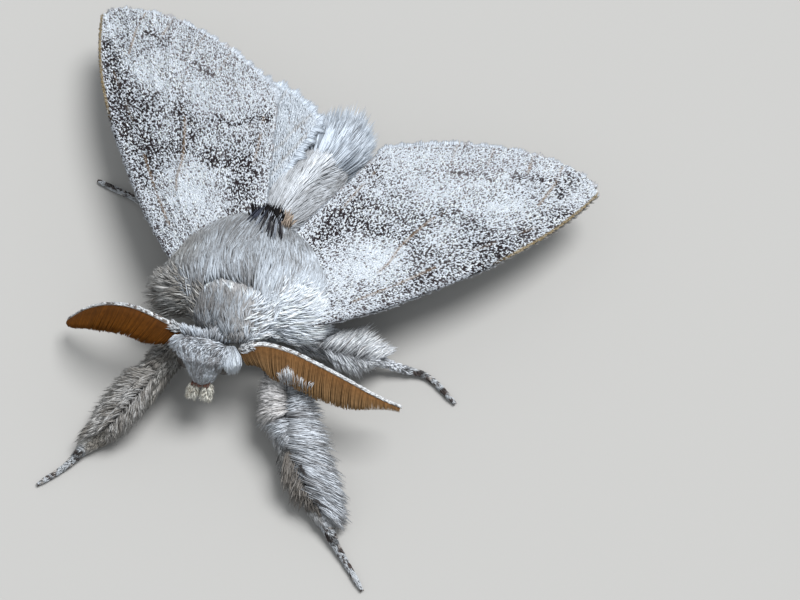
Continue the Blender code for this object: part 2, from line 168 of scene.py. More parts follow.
def hair_mat(name, rough=0.55, sheen=0.15, spread=0.10, scale=9000.0, spec=0.3):
    """Painted by the coat's colour attribute, which holds its marks and its painted light and shade, with a fine
    mottling on top.
    """
    m, t, n, l, b = new_mat(name)
    at = n.new("ShaderNodeAttribute")
    at.attribute_name = "coat"
    co = n.new("ShaderNodeTexCoord")
    nz = n.new("ShaderNodeTexNoise")
    nz.inputs["Scale"].default_value = scale
    nz.inputs["Detail"].default_value = 3.0
    l.new(co.outputs["Object"], nz.inputs["Vector"])
    rp = n.new("ShaderNodeMapRange")
    rp.inputs["From Min"].default_value = 0.3
    rp.inputs["From Max"].default_value = 0.7
    rp.inputs["To Min"].default_value = 1.0 - spread
    rp.inputs["To Max"].default_value = 1.0 + spread
    l.new(nz.outputs["Fac"], rp.inputs["Value"])
    mx = n.new("ShaderNodeVectorMath")
    mx.operation = "SCALE"
    l.new(at.outputs["Color"], mx.inputs[0])
    l.new(rp.outputs["Result"], mx.inputs["Scale"])
    l.new(mx.outputs["Vector"], b.inputs["Base Color"])
    b.inputs["Roughness"].default_value = rough
    b.inputs["Specular IOR Level"].default_value = spec
    b.inputs["Sheen Weight"].default_value = sheen
    b.inputs["Sheen Roughness"].default_value = 0.5
    return m


def skin_mat(name, bump=0.00006, scale=14000.0, rough=0.8):
    m, t, n, l, b = new_mat(name)
    at = n.new("ShaderNodeAttribute")
    at.attribute_name = "coat"
    co = n.new("ShaderNodeTexCoord")
    mp = n.new("ShaderNodeMapping")
    mp.inputs["Scale"].default_value = (1.0, 0.35, 1.0)
    l.new(co.outputs["Object"], mp.inputs["Vector"])
    nz = n.new("ShaderNodeTexNoise")
    nz.inputs["Scale"].default_value = scale
    nz.inputs["Detail"].default_value = 4.0
    l.new(mp.outputs["Vector"], nz.inputs["Vector"])
    rp = n.new("ShaderNodeMapRange")
    rp.inputs["From Min"].default_value = 0.3
    rp.inputs["From Max"].default_value = 0.7
    rp.inputs["To Min"].default_value = 0.6
    rp.inputs["To Max"].default_value = 1.25
    l.new(nz.outputs["Fac"], rp.inputs["Value"])
    mx = n.new("ShaderNodeVectorMath")
    mx.operation = "SCALE"
    l.new(at.outputs["Color"], mx.inputs[0])
    l.new(rp.outputs["Result"], mx.inputs["Scale"])
    l.new(mx.outputs["Vector"], b.inputs["Base Color"])
    bp = n.new("ShaderNodeBump")
    bp.inputs["Strength"].default_value = 0.6
    bp.inputs["Distance"].default_value = bump
    l.new(nz.outputs["Fac"], bp.inputs["Height"])
    l.new(bp.outputs["Normal"], b.inputs["Normal"])
    b.inputs["Roughness"].default_value = rough
    b.inputs["Specular IOR Level"].default_value = 0.3
    return m


# ------------------------------------------------------------------ surfaces
class Dome:
    """A closed shape over unit directions; f takes (n, 3) to points."""

    def __init__(self, f):
        self.f = f

    def sample(self, n, rng, weight=None):
        k = n * 6
        i = np.arange(k) + 0.5
        z = 1 - 2 * i / k
        a = i * math.pi * (1 + 5 ** 0.5)
        r = np.sqrt(1 - z * z)
        d = unit(np.stack([r * np.cos(a), r * np.sin(a), z], 1) + rng.normal(0, 0.35 / math.sqrt(k), (k, 3)))
        p, nn, fr = self.frame(d)
        w = np.linalg.norm(np.cross(fr[2], fr[3]), axis=1)
        if weight is not None:
            w = w * weight(p, nn)
        w = w / w.sum() * n
        keep = rng.random(k) < np.minimum(w, 1.0)
        return d[keep]

    def frame(self, d):
        ref = np.where(np.abs(d[:, 2:3]) < 0.9, [[0.0, 0.0, 1.0]], [[1.0, 0.0, 0.0]])
        e1 = unit(np.cross(ref, d))
        e2 = np.cross(d, e1)
        h = 4e-3
        p = self.f(d)
        j1 = (self.f(unit(d + h * e1)) - self.f(unit(d - h * e1))) / (2 * h)
        j2 = (self.f(unit(d + h * e2)) - self.f(unit(d - h * e2))) / (2 * h)
        return p, unit(np.cross(j1, j2)), (e1, e2, j1, j2)

    def step(self, d, fr, move):
        e1, e2, j1, j2 = fr
        a, b = solve(j1, j2, move)
        k = np.minimum(1.0, 1.2 / np.maximum(np.hypot(a, b), 1e-9))
        return unit(d + e1 * (a * k)[:, None] + e2 * (b * k)[:, None])

    def unwrap(self, d):
        """Unrolled about the axis along the body: round it, and along it."""
        u = np.arctan2(d[:, 0], d[:, 2]) / (2 * math.pi) + 0.5
        v = np.arccos(np.clip(d[:, 1], -1, 1)) / math.pi
        return np.stack([0.01 + 0.98 * u, 0.01 + 0.98 * v], 1)

    def grid(self, nu=64, nv=32):
        t = np.linspace(0, math.pi, nv + 1)
        a = np.linspace(0, 2 * math.pi, nu, endpoint=False)
        T, A = np.meshgrid(t, a, indexing="ij")
        d = np.stack([np.sin(T) * np.cos(A), np.cos(T), np.sin(T) * np.sin(A)], -1).reshape(-1, 3)
        return d, nu, nv


class Tube:
    """A shape round a line; f takes t (0 to 1) and a (angle) to points."""

    def __init__(self, f, mid, axis_len):
        self.f, self.mid, self.len = f, mid, axis_len

    def sample(self, n, rng, weight=None, t0=0.02, t1=0.985):
        k = n * 4
        i = np.arange(k) + 0.5
        t = t0 + (t1 - t0) * i / k
        a = (i * 0.61803398875 % 1.0) * 2 * math.pi
        t = np.clip(t + rng.normal(0, 0.002, k), t0, t1)
        d = np.stack([t, a + rng.normal(0, 0.05, k)], 1)
        p, nn, fr = self.frame(d)
        w = np.linalg.norm(np.cross(fr[0], fr[1]), axis=1)
        if weight is not None:
            w = w * weight(d, p, nn)
        w = w / w.sum() * n
        keep = rng.random(k) < np.minimum(w, 1.0)
        return d[keep]

    def frame(self, d):
        h = 4e-3
        t, a = d[:, 0], d[:, 1]
        p = self.f(t, a)
        t0, t1 = np.clip(t - h, 0, 1), np.clip(t + h, 0, 1)
        j1 = (self.f(t1, a) - self.f(t0, a)) / (t1 - t0)[:, None]
        j2 = (self.f(t, a + h) - self.f(t, a - h)) / (2 * h)
        n = unit(np.cross(j1, j2))
        flip = np.sign((n * (p - self.mid(t))).sum(1))
        return p, n * flip[:, None], (j1, j2)

    def unwrap(self, d):
        return np.stack([0.01 + 0.98 * (d[:, 1] / (2 * math.pi) % 1.0), 0.01 + 0.98 * np.clip(d[:, 0], 0, 1)], 1)


def solve(j1, j2, m):
    a11, a22, a12 = (j1 * j1).sum(1), (j2 * j2).sum(1), (j1 * j2).sum(1)
    b1, b2 = (j1 * m).sum(1), (j2 * m).sum(1)
    det = np.maximum(a11 * a22 - a12 * a12, 1e-9)
    return (a22 * b1 - a12 * b2) / det, (a11 * b2 - a12 * b1) / det


def tangent(v, n):
    return unit(v - n * (v * n).sum(1, keepdims=True))


# ------------------------------------------------------------------ locks
S3 = np.array((0.0, 0.38, 0.72))
W3 = np.array((0.62, 1.0, 0.72))
S2 = np.array((0.0, 0.55))
W2 = np.array((0.75, 1.0))


def locks(root, mid, tip, up, width, c_root, c_tip, uv, rings=3, thick=0.55, dark=None):
    """Tapered three-sided locks along quadratic curves. Returns vertices,
    triangles, colours and bake map, all joined."""
    N = len(root)
    S, W = (S3, W3) if rings == 3 else (S2, W2)
    k = len(S)
    vs, cs, us = [], [], []
    for s, w in zip(S, W):
        c = root * (1 - s) ** 2 + mid * (2 * s * (1 - s)) + tip * s * s
        d = unit((mid - root) * (1 - s) + (tip - mid) * s)
        side = unit(np.cross(up, d))
        top = np.cross(d, side)
        ww = (width * w)[:, None]
        vs += [c + side * ww * 0.5 - top * ww * 0.12, c + top * ww * thick, c - side * ww * 0.5 - top * ww * 0.12]
        # colour runs from root to tip: a darker root is painted shade deep in the coat, and the top edge of each ring
        # is painted 3% lighter as a painted highlight
        col = lerp(c_root, c_tip, s ** 0.8)
        cs += [col, col * 1.03, col]
        for q in (-1, 0, 1):
            us.append(uv + np.array((0.0013 * q, -0.0014 + 0.0028 * s)))
    vs.append(tip)
    cs.append(c_tip)
    us.append(uv + np.array((0.0, 0.0014)))
    m = 3 * k + 1
    V = np.stack(vs, 1).reshape(-1, 3)
    C = np.stack(cs, 1).reshape(-1, 3)
    U = np.stack(us, 1).reshape(-1, 2)
    base = (np.arange(N) * m)[:, None]
    tri = [(0, 1, 2)]
    for j in range(k - 1):
        for e in range(3):
            x, y = 3 * j + e, 3 * j + (e + 1) % 3
            tri += [(x, x + 3, y), (y, x + 3, y + 3)]
    for e in range(3):
        tri.append((3 * (k - 1) + e, m - 1, 3 * (k - 1) + (e + 1) % 3))
    F = np.concatenate([base + np.array(f)[None] for f in tri])
    return V, F, C, np.clip(U, 0.001, 0.999)


def coat_piece(name, parts, mat, slot, *nodes):
    """Joins several lots of locks in one mesh."""
    V, F, C, U, at = [], [], [], [], 0
    for v, f, c, u in parts:
        V.append(v)
        F.append(f + at)
        C.append(c)
        U.append(u)
        at += len(v)
    ob = build(name, np.concatenate(V), [np.concatenate(F)], np.concatenate(C), np.concatenate(U))
    return place(ob, mat, slot, *nodes)


def tones(rng, n, p, white, grey, dark, mix, size=0.42, seed=3):
    """Colours for n locks, in clusters: mix gives the shares of grey and dark."""
    k = 0.5 + 0.5 * (0.62 * noise(p, size, seed) + 0.38 * noise(p, size * 0.4, seed + 1)) * 1.3
    k = np.clip(k * 0.72 + rng.random(n) * 0.28, 0, 1)
    g, d = mix
    g = np.broadcast_to(g, (n,))
    d = np.broadcast_to(d, (n,))
    c = np.tile(np.array(white, float), (n, 1))
    m1 = smooth(k, 1 - d - g - 0.10, 1 - d - g + 0.14)[:, None]
    m2 = smooth(k, 1 - d - 0.04, 1 - d + 0.06)[:, None]
    c = lerp(c, np.array(grey), m1)
    c = lerp(c, np.array(dark), m2)
    return c * (1 + 0.10 * rng.normal(0, 1, (n, 1)).clip(-1.5, 1.5))


# ------------------------------------------------------------------ wings
FW_SPAN, FW_ANGLE, FW_CHORD, FW_COSTA = 21.95, 10.0, 8.9, 2.55
HW_SPAN, HW_ANGLE, HW_CHORD, HW_DROP = 14.8, 8.4, 8.7, 0.86
FORE = {
    "right": (2.36, -0.36, 5.3, 43.9, -0.075, -0.003),
    "left": (3.60, -1.08, 5.15, 45.2, -0.009, -0.081),
}
HIND = {"right": (2.10, 1.00, 31.5), "left": (3.30, 0.60, 49.0)}


def fw_lead(a):
    return np.where(a < 6.0, -FW_COSTA + 0.7 * (np.maximum(6.0 - a, 0) / 6.0) ** 2,
                    -FW_COSTA * (1.0 - (np.maximum(a - 6.0, 0) / (FW_SPAN - 6.0)) ** 3))


def fw_trail(a):
    inner = 4.0 + 0.49 * a - 2.6 * (1.0 - np.minimum(a / 2.2, 1.0)) ** 2
    x = np.clip((a - FW_ANGLE) / (FW_SPAN - FW_ANGLE), 0.0, 1.0)
    return np.where(a < FW_ANGLE, inner, FW_CHORD * (1.0 - x ** 1.3) ** 0.53)


def hw_lead(a):
    return -0.8 - 1.7 * (1.0 - np.minimum(np.abs(a - 7.0) / 7.8, 1.0) ** 2)


def hw_trail(a):
    x = np.clip((a - HW_ANGLE) / (HW_SPAN - HW_ANGLE), 0.0, 1.0)
    return np.where(a < HW_ANGLE, 1.0 + 0.80 * a, -0.8 + HW_CHORD * (1.0 - x ** 1.7) ** 0.62)


def wing_height(side, ax, y):
    hx, hy, hz, yaw, kx, ky = FORE[side]
    r = math.radians(yaw)
    a = (ax - hx) * math.sin(r) + (y - hy) * math.cos(r)
    b = -(ax - hx) * math.cos(r) + (y - hy) * math.sin(r)
    z = hz + kx * (ax - hx) + ky * (y - hy)
    z = z + 0.25 * np.exp(-((b - 2.5) / 4.0) ** 2) * smooth(a, 1.0, 8.0) - 0.12
    z = z - 0.25 * smooth(a, 14.0, 23.0)
    return z - 0.15 * smooth(-b, 0.5, 3.0) * smooth(a, 2.0, 6.0)


def wing_at(side, hind, a, b):
    s = SIGN[side]
    if hind:
        hx, hy, yaw = HIND[side]
    else:
        hx, hy, yaw = FORE[side][0], FORE[side][1], FORE[side][3]
    r = math.radians(yaw)
    ax = hx + a * math.sin(r) - b * math.cos(r)
    y = hy + a * math.cos(r) + b * math.sin(r)
    z = wing_height(side, ax, y)
    if hind:
        z = z - HW_DROP - 0.010 * np.maximum(b - 3.0, 0.0) ** 2
    return np.stack([s * ax, y, z], -1)


# veins of a forewing and a hindwing, as lines through (along, across)
FW_VEINS = (
    ((0, -1.3), (5, -2.0), (10, -2.1), (14, -1.95)),
    ((0, -0.9), (4, -0.9), (8, -0.75), (12, -0.75), (16, -1.0), (19, -1.1)),
    ((12, -0.75), (15.5, -0.4), (19, -0.1), (21.4, 0.1)),
    ((12.4, 0.1), (16, 0.6), (19, 1.1), (21.2, 1.6)),
    ((12.2, 1.0), (16, 1.7), (18.6, 2.5), (20.5, 3.4)),
    ((12.0, 1.6), (15.5, 2.8), (18.3, 3.9), (19.4, 4.7)),
    ((11.4, 2.2), (14.5, 3.7), (17.0, 5.3), (17.8, 6.0)),
    ((0, 0.2), (4.5, -0.2), (7.2, 0.6), (9.2, 1.7), (11.4, 2.3)),
    ((9.2, 1.7), (12, 3.5), (14.6, 5.7), (15.6, 7.0)),
    ((6.5, 0.5), (9, 3.0), (11.5, 5.6), (13.0, 7.9)),
    ((0, 1.0), (3.5, 3.2), (6.2, 5.3), (9.0, 7.1), (10.3, 8.4)),
    ((12, -0.75), (12.5, 0.2), (12.3, 1.0), (11.4, 2.2)),
)
HW_VEINS = (
    ((0, -0.6), (4, -1.6), (9, -1.8), (14, -0.9)),
    ((0, 0.0), (4, -0.3), (8, 0.1), (12, 0.6), (14.4, 0.8)),
    ((5.5, -0.1), (8, 1.3), (11, 2.6), (13.4, 3.6)),
    ((0, 0.3), (4, 1.3), (7, 2.9), (9.6, 4.6), (11.4, 5.9)),
    ((4, 1.3), (6, 3.6), (8, 5.7), (9.2, 7.2)),
    ((0, 0.6), (3, 2.3), (5.5, 4.4), (7.6, 6.6)),
)


def vein_near(veins, a, b):
    """Distance from each place to the nearest vein."""
    best = np.full(a.shape, 99.0)
    for line in veins:
        q = spline(line, np.linspace(0, 1, 18))
        for i in range(len(q) - 1):
            d = q[i + 1] - q[i]
            u = np.clip(((a - q[i, 0]) * d[0] + (b - q[i, 1]) * d[1]) / (d @ d), 0, 1)
            best = np.minimum(best, np.hypot(a - q[i, 0] - u * d[0], b - q[i, 1] - u * d[1]))
    return best


def blot(a, b, ca, cb, wa, wb, turn=0.0):
    c, s = math.cos(math.radians(turn)), math.sin(math.radians(turn))
    x, y = a - ca, b - cb
    return np.exp(-(((x * c + y * s) / wa) ** 2 + ((-x * s + y * c) / wb) ** 2))


MARKS = {
    # centre along and across, half lengths along and across, turn, strength right, strength left
    "costa_base": (4.2, -1.9, 2.6, 0.45, 0, 0.05, 0.00),
    "costa_mid": (8.2, -1.8, 2.3, 0.55, 0, 0.10, 0.14),
    "costa_far": (13.4, -1.9, 2.4, 0.5, 3, 0.14, 0.20),
    "band": (11.3, -0.8, 3.3, 1.15, 0, 0.34, 0.15),
    "band_fore": (9.1, 0.8, 1.1, 1.5, -12, 0.22, 0.16),
    "band_core": (12.6, 0.6, 1.1, 0.9, -30, 0.10, 0.12),
    "band_out": (15.9, -0.9, 2.6, 0.65, 6, 0.28, 0.15),
    "band_tail": (18.6, -0.7, 0.9, 0.35, 20, 0.20, 0.20),
    "cell_end": (11.2, 2.2, 1.7, 0.7, 0, 0.20, 0.14),
    "first_line": (7.0, 2.9, 2.1, 0.36, -46, 0.22, 0.24),
    "inner_patch": (4.1, 3.9, 1.6, 1.0, 25, 0.24, 0.24),
    "inner_more": (6.2, 4.7, 2.2, 1.3, 30, 0.16, 0.17),
    "middle": (8.9, 3.4, 1.9, 1.5, 0, 0.08, 0.10),
    "arc": (9.05, 5.7, 1.75, 0.11, -66, 0.66, 0.14),
    "arc_low": (8.7, 7.2, 0.7, 0.5, 0, 0.10, 0.18),
    "arc_mid": (10.0, 4.35, 0.5, 0.13, -20, 0.24, 0.08),
    "cross": (12.6, 5.6, 2.6, 0.7, -30, 0.06, 0.08),
    "spot_a": (13.6, 4.95, 0.42, 0.22, -20, 0.36, 0.16),
    "spot_b": (14.6, 4.55, 0.50, 0.20, -25, 0.44, 0.34),
    "spot_c": (15.6, 3.75, 0.45, 0.22, -50, 0.10, 0.28),
    "spot_d": (17.4, 3.1, 0.35, 0.50, -20, 0.42, 0.36),
    "spot_e": (18.5, 2.5, 0.55, 0.24, -30, 0.42, 0.36),
    "spot_f": (19.3, 0.9, 0.28, 0.50, 0, 0.12, 0.42),
    "outer_low": (17.0, 0.6, 1.6, 0.8, 0, 0.02, 0.02),
    "apex_low": (20.4, 1.6, 0.8, 0.7, 0, 0.10, 0.16),
    "white_base": (5.3, 0.7, 2.7, 1.1, 0, -0.14, -0.16),
    "white_streak": (14.9, 1.3, 1.7, 0.4, -22, -0.16, -0.12),
    "white_tip": (20.2, 0.2, 1.2, 0.6, 0, -0.10, -0.10),
    "white_out": (11.9, 4.3, 1.6, 0.8, -10, -0.08, -0.06),
    "white_low": (11.6, 6.6, 1.2, 1.0, 0, -0.05, -0.08),
}


def fore_marks(a, b, side):
    """Share of dark scales over a forewing, 0 to 1."""
    w = 0.34 * flat_noise(a, b, 1.3, 11) + 0.22 * flat_noise(a, b, 0.6, 12)
    x, y = a + w, b + w * 0.6
    k = 0.165 + 0.05 * flat_noise(a, b, 2.6, 15)
    for ca, cb, wa, wb, turn, gr, gl in MARKS.values():
        k = k + (gr if side == "right" else gl) * blot(x, y, ca, cb, wa, wb, turn)
    return np.clip(k, 0.03, 0.80)


def speckle(a, b, k, seed, cell=0.170):
    """1 where a place is a dark fleck: short dashes, one to a cell, that run
    together where k, the share of dark scales, is high."""
    i, j = np.floor(a / cell).astype(np.int64), np.floor(b / cell).astype(np.int64)
    k = k * (1 + 0.35 * flat_noise(a, b, 0.55, seed + 9))
    best = np.zeros(np.shape(a))
    for di in (-1, 0, 1):
        for dj in (-1, 0, 1):
            c = np.stack([i + di, j + dj, np.zeros_like(i)], -1)
            ca = (i + di + 0.5 + 0.34 * hashed(c, seed)) * cell
            cb = (j + dj + 0.5 + 0.34 * hashed(c, seed + 1)) * cell
            th = 1.9 + 1.1 * hashed(c, seed + 2)
            r = cell * np.sqrt(np.maximum(k, 0.24) / math.pi) * (1.02 + 0.25 * hashed(c, seed + 3))
            here = 0.5 + 0.5 * hashed(c, seed + 4) < k / 0.24
            x, y = a - ca, b - cb
            u = (x * np.cos(th) + y * np.sin(th)) / 1.38
            v = (-x * np.sin(th) + y * np.cos(th)) * 1.38
            best = np.maximum(best, here * smooth(r - np.hypot(u, v), -0.012, 0.022))
    return best


WHITE = np.array((0.83, 0.895, 0.975))
DARK = np.array((0.034, 0.026, 0.029))
TAN = np.array((0.34, 0.235, 0.14))


TAN_LINES = (
    (((3.6, -1.35), (6.5, -1.3), (9.4, -1.1)), 0.55),
    (((5.8, -0.1), (6.8, 0.3), (7.8, 1.0), (9.3, 1.7), (10.9, 2.3)), 0.62),
    (((12.0, -0.9), (15.0, -0.9), (18.0, -0.8)), 0.30),
    (((11.4, 2.3), (13.0, 2.8), (14.5, 3.7)), 0.22),
    (((17.6, 0.6), (19.2, 1.6), (20.4, 2.7)), 0.72),
    (((18.1, 3.2), (19.4, 4.7)), 0.66),
    (((15.8, 4.6), (17.1, 6.1)), 0.36),
    (((13.6, 5.7), (14.9, 7.2)), 0.30),
    (((5.6, 5.2), (7.2, 6.2), (8.8, 7.1)), 0.45),
)


def fore_paint(a, b, side, rng=None):
    k = fore_marks(a, b, side)
    f = speckle(a, b, np.clip(k * (1.86 if side == "right" else 1.82) - 0.015, 0.02, 0.74), 21 if side == "right" else 41)
    tint = 0.5 + 0.5 * flat_noise(a, b, 2.2, 5)
    white = lerp(WHITE, np.array((0.70, 0.75, 0.81)), (0.55 * tint)[..., None])
    pale = np.clip(1.1 - 3.2 * k, 0, 1) + 0.6 * smooth(b + 0.12 * a, 4.2, 5.6) * smooth(a, 9.5, 11.0)
    dark = lerp(DARK, np.array((0.22, 0.20, 0.21)), np.clip(pale, 0, 1)[..., None])
    if rng is not None:
        f = smooth(f + 0.20 * rng.normal(0, 1, a.shape), 0.34, 0.62)
    c = lerp(white, dark, f[..., None])
    if rng is not None:
        c = c * (1 + 0.09 * rng.normal(0, 1, a.shape)[..., None].clip(-2, 2))
    # thin tan lines where veins show through, and the costa's yellow edge
    for line, share in TAN_LINES:
        near = bell(vein_near((line,), a, b), 0, 0.085) * smooth(flat_noise(a, b, 0.9, 31), -0.5, 0.1)
        c = lerp(c, TAN, (share * near)[..., None])
    out = b - fw_lead(a)
    c = c * (1 - 0.34 * smooth(0.34 - out, 0.0, 0.24) * (1 - 0.5 * smooth(a, 3.0, 1.0)))[..., None]
    edge = smooth(0.24 - out, 0.0, 0.12) * smooth(a, 12.5, 15.0)
    c = lerp(c, np.array((0.40, 0.30, 0.15)), (0.8 * edge)[..., None])
    return c


def hind_paint(a, b, side, rng=None):
    k = 0.03 + 0.30 * blot(a, b, 8.4, 6.2, 0.8, 0.4, -40) + 0.22 * blot(a, b, 8.0, 2.2, 0.5, 0.7)
    f = speckle(a, b, k, 61)
    c = lerp(np.array((0.74, 0.81, 0.89)), np.array((0.38, 0.375, 0.39)), f[..., None])
    if rng is not None:
        c = c * (1 + 0.07 * rng.normal(0, 1, a.shape)[..., None].clip(-2, 2))
    v = vein_near(HW_VEINS, a, b)
    return lerp(c, np.array((0.52, 0.48, 0.42)), (0.35 * bell(v, 0, 0.09))[..., None])


def wing_uv(a, b, hind, under):
    span = 24.0 if not hind else 17.0
    u = (a + 0.8) / span
    v = (b + 3.4) / 13.2
    return np.stack([0.01 + 0.98 * np.clip(u, 0, 1), (0.505 if under else 0.008) + 0.487 * np.clip(v, 0, 1)], -1)


def membrane(side, hind):
    name = ("hindwing_" if hind else "forewing_") + side
    nu, nv = (150, 74) if not hind else (110, 66)
    span = (HW_SPAN if hind else FW_SPAN) - 0.30
    veins = HW_VEINS if hind else FW_VEINS
    u = np.linspace(0, 1, nu + 1)
    a = 0.1 + (span - 0.1) * np.sin(u * math.pi / 2) ** 1.12
    lo = (hw_lead(a) if hind else fw_lead(a)) + 0.10
    hi = (hw_trail(a) if hind else fw_trail(a)) - (0.55 if hind else 0.34)
    # the hidden root of a wing is cut off inside the thorax
    w = np.linspace(0, 1, nv + 1)
    A = np.repeat(a[:, None], nv + 1, 1)
    B = lo[:, None] + np.maximum(hi - lo, 0.03)[:, None] * w[None]
    A, B = A.ravel(), B.ravel()
    P = wing_at(side, hind, A, B)
    v = vein_near(veins, A, B)
    rib = bell(v, 0, 0.13) * 0.03
    ripple = 0.018 * flat_noise(A, B, 1.6, 7) + 0.010 * flat_noise(A, B, 0.5, 8)
    edge = np.minimum(np.minimum(w, 1 - w)[None].repeat(nu + 1, 0), np.minimum(u + 1, 1 - u)[:, None].repeat(nv + 1, 1)).ravel()
    half = 0.025 + 0.035 * smooth(edge, 0.0, 0.03) + 0.04 * bell(B - (fw_lead(A) if not hind else hw_lead(A)), 0.15, 0.22) * (not hind)
    top = P + np.stack([0 * A, 0 * A, half + rib + ripple], 1)
    bot = P - np.stack([0 * A, 0 * A, half + rib * 0.7 - ripple], 1)
    V = np.concatenate([top, bot])
    n = nv + 1
    i, j = np.meshgrid(np.arange(nu), np.arange(nv), indexing="ij")
    q = (i * n + j).ravel()
    quad = np.stack([q, q + n, q + n + 1, q + 1], 1)
    m = len(top)
    rim = []
    ring = [(k, 0) for k in range(nu + 1)] + [(nu, k) for k in range(1, nv + 1)] \
        + [(k, nv) for k in range(nu - 1, -1, -1)] + [(0, k) for k in range(nv - 1, 0, -1)]
    idx = [x * n + y for x, y in ring]
    for x, y in zip(idx, idx[1:] + idx[:1]):
        rim.append((x, x + m, y + m, y))
    rim = np.array(rim)
    if SIGN[side] > 0:
        faces = [quad, quad[:, ::-1] + m, rim]
    else:
        faces = [quad[:, ::-1], quad + m, rim[:, ::-1]]
    C = hind_paint(A, B, side) if hind else fore_paint(A, B, side)
    C2 = lerp(np.array((0.62, 0.64, 0.67)), C, 0.45)
    U = np.concatenate([wing_uv(A, B, hind, False), wing_uv(A, B, hind, True)])
    return name, V, faces, np.concatenate([C * 0.92, C2 * 0.9]), U


def scales(side, hind, n, under, rng, long, wide):
    """Overlapping wing scales: slim four-cornered blades that lie back."""
    span = HW_SPAN if hind else FW_SPAN
    lead, trail = (hw_lead, hw_trail) if hind else (fw_lead, fw_trail)
    pitch = math.sqrt(1.0 / n)
    # rows across the wing, each shifted, as shingles
    box_a, box_b = span + 0.2, 12.4
    cols = int(math.sqrt(n * box_a / box_b * 1.45))
    rows = int(n * 1.45 / cols)
    A, B = np.meshgrid(np.arange(cols) + 0.5, np.arange(rows) + 0.5, indexing="ij")
    A = (A + 0.5 * (np.arange(rows) % 2)[None] + rng.normal(0, 0.22, A.shape)) / cols * box_a - 0.1
    B = (B + rng.normal(0, 0.22, B.shape)) / rows * box_b - 3.0
    A, B = A.ravel(), B.ravel()
    inside = (B > lead(A) + 0.01) & (B < trail(A) - 0.36) & (A < span - 0.25) & (A > 0.1)
    A, B = A[inside], B[inside]
    N = len(A)
    # scales point outwards from the hinge, turned towards the margin
    ang = np.arctan2(B * 0.75, A + 3.0) + rng.normal(0, 0.22, N) + 0.25 * flat_noise(A, B, 0.8, 77)
    L = long * (1 + 0.22 * rng.normal(0, 1, N).clip(-1.5, 1.5))
    W = wide * (1 + 0.18 * rng.normal(0, 1, N).clip(-1.5, 1.5))
    ca, sa = np.cos(ang), np.sin(ang)
    s = -1.0 if under else 1.0
    base = wing_at(side, hind, A, B)
    v = bell(vein_near(HW_VEINS if hind else FW_VEINS, A, B), 0, 0.13) * 0.03
    rise = 0.062 + v + 0.018 * flat_noise(A, B, 1.6, 7) * s + 0.05 * bell(B - lead(A), 0.15, 0.22) * (not hind)
    lift = 0.018 + 0.022 * rng.random(N)

    def at(da, db, up):
        p = wing_at(side, hind, A + da, B + db)
        p[:, 2] += s * (rise + up)
        return p

    root = at(-ca * L * 0.45, -sa * L * 0.45, -0.02)
    left = at(-sa * W * 0.5 + ca * L * 0.08, ca * W * 0.5 + sa * L * 0.08, lift * 0.45)
    right = at(sa * W * 0.5 + ca * L * 0.08, -ca * W * 0.5 + sa * L * 0.08, lift * 0.45)
    tip = at(ca * L * 0.6, sa * L * 0.6, lift)
    V = np.stack([root, left, tip, right], 1).reshape(-1, 3)
    C = hind_paint(A, B, side, rng) if hind else fore_paint(A, B, side, rng)
    if under:
        g = lerp(np.array((0.64, 0.655, 0.68)), C, 0.35)
        g = lerp(g, np.array((0.33, 0.31, 0.30)), (0.5 * blot(A, B, 9.5 if not hind else 7.0, 0.8, 0.9, 0.8))[:, None])
        C = g * (1 + 0.05 * rng.normal(0, 1, (N, 1)))
    Cv = np.repeat(C, 4, 0).reshape(N, 4, 3)
    # painted shade at each scale's root, tucked under its neighbours, and a painted highlight towards its tip
    Cv = Cv * np.array((0.86, 1.0, 1.06, 1.0))[None, :, None]
    uv = wing_uv(A, B, hind, under)
    off = np.array(((0, -0.0014), (-0.0012, 0), (0, 0.0014), (0.0012, 0)))
    U = (uv[:, None] + off[None]).reshape(-1, 2)
    k = (np.arange(N) * 4)[:, None]
    # the blade's ridge runs from root to tip, above the corners
    tri = [(0, 2, 1), (0, 3, 2), (0, 1, 3), (1, 2, 3)]
    if (SIGN[side] > 0) == (s > 0):
        tri = [t[::-1] for t in tri]
    F = np.concatenate([k + np.array(t)[None] for t in tri])
    return V, F, Cv.reshape(-1, 3), U


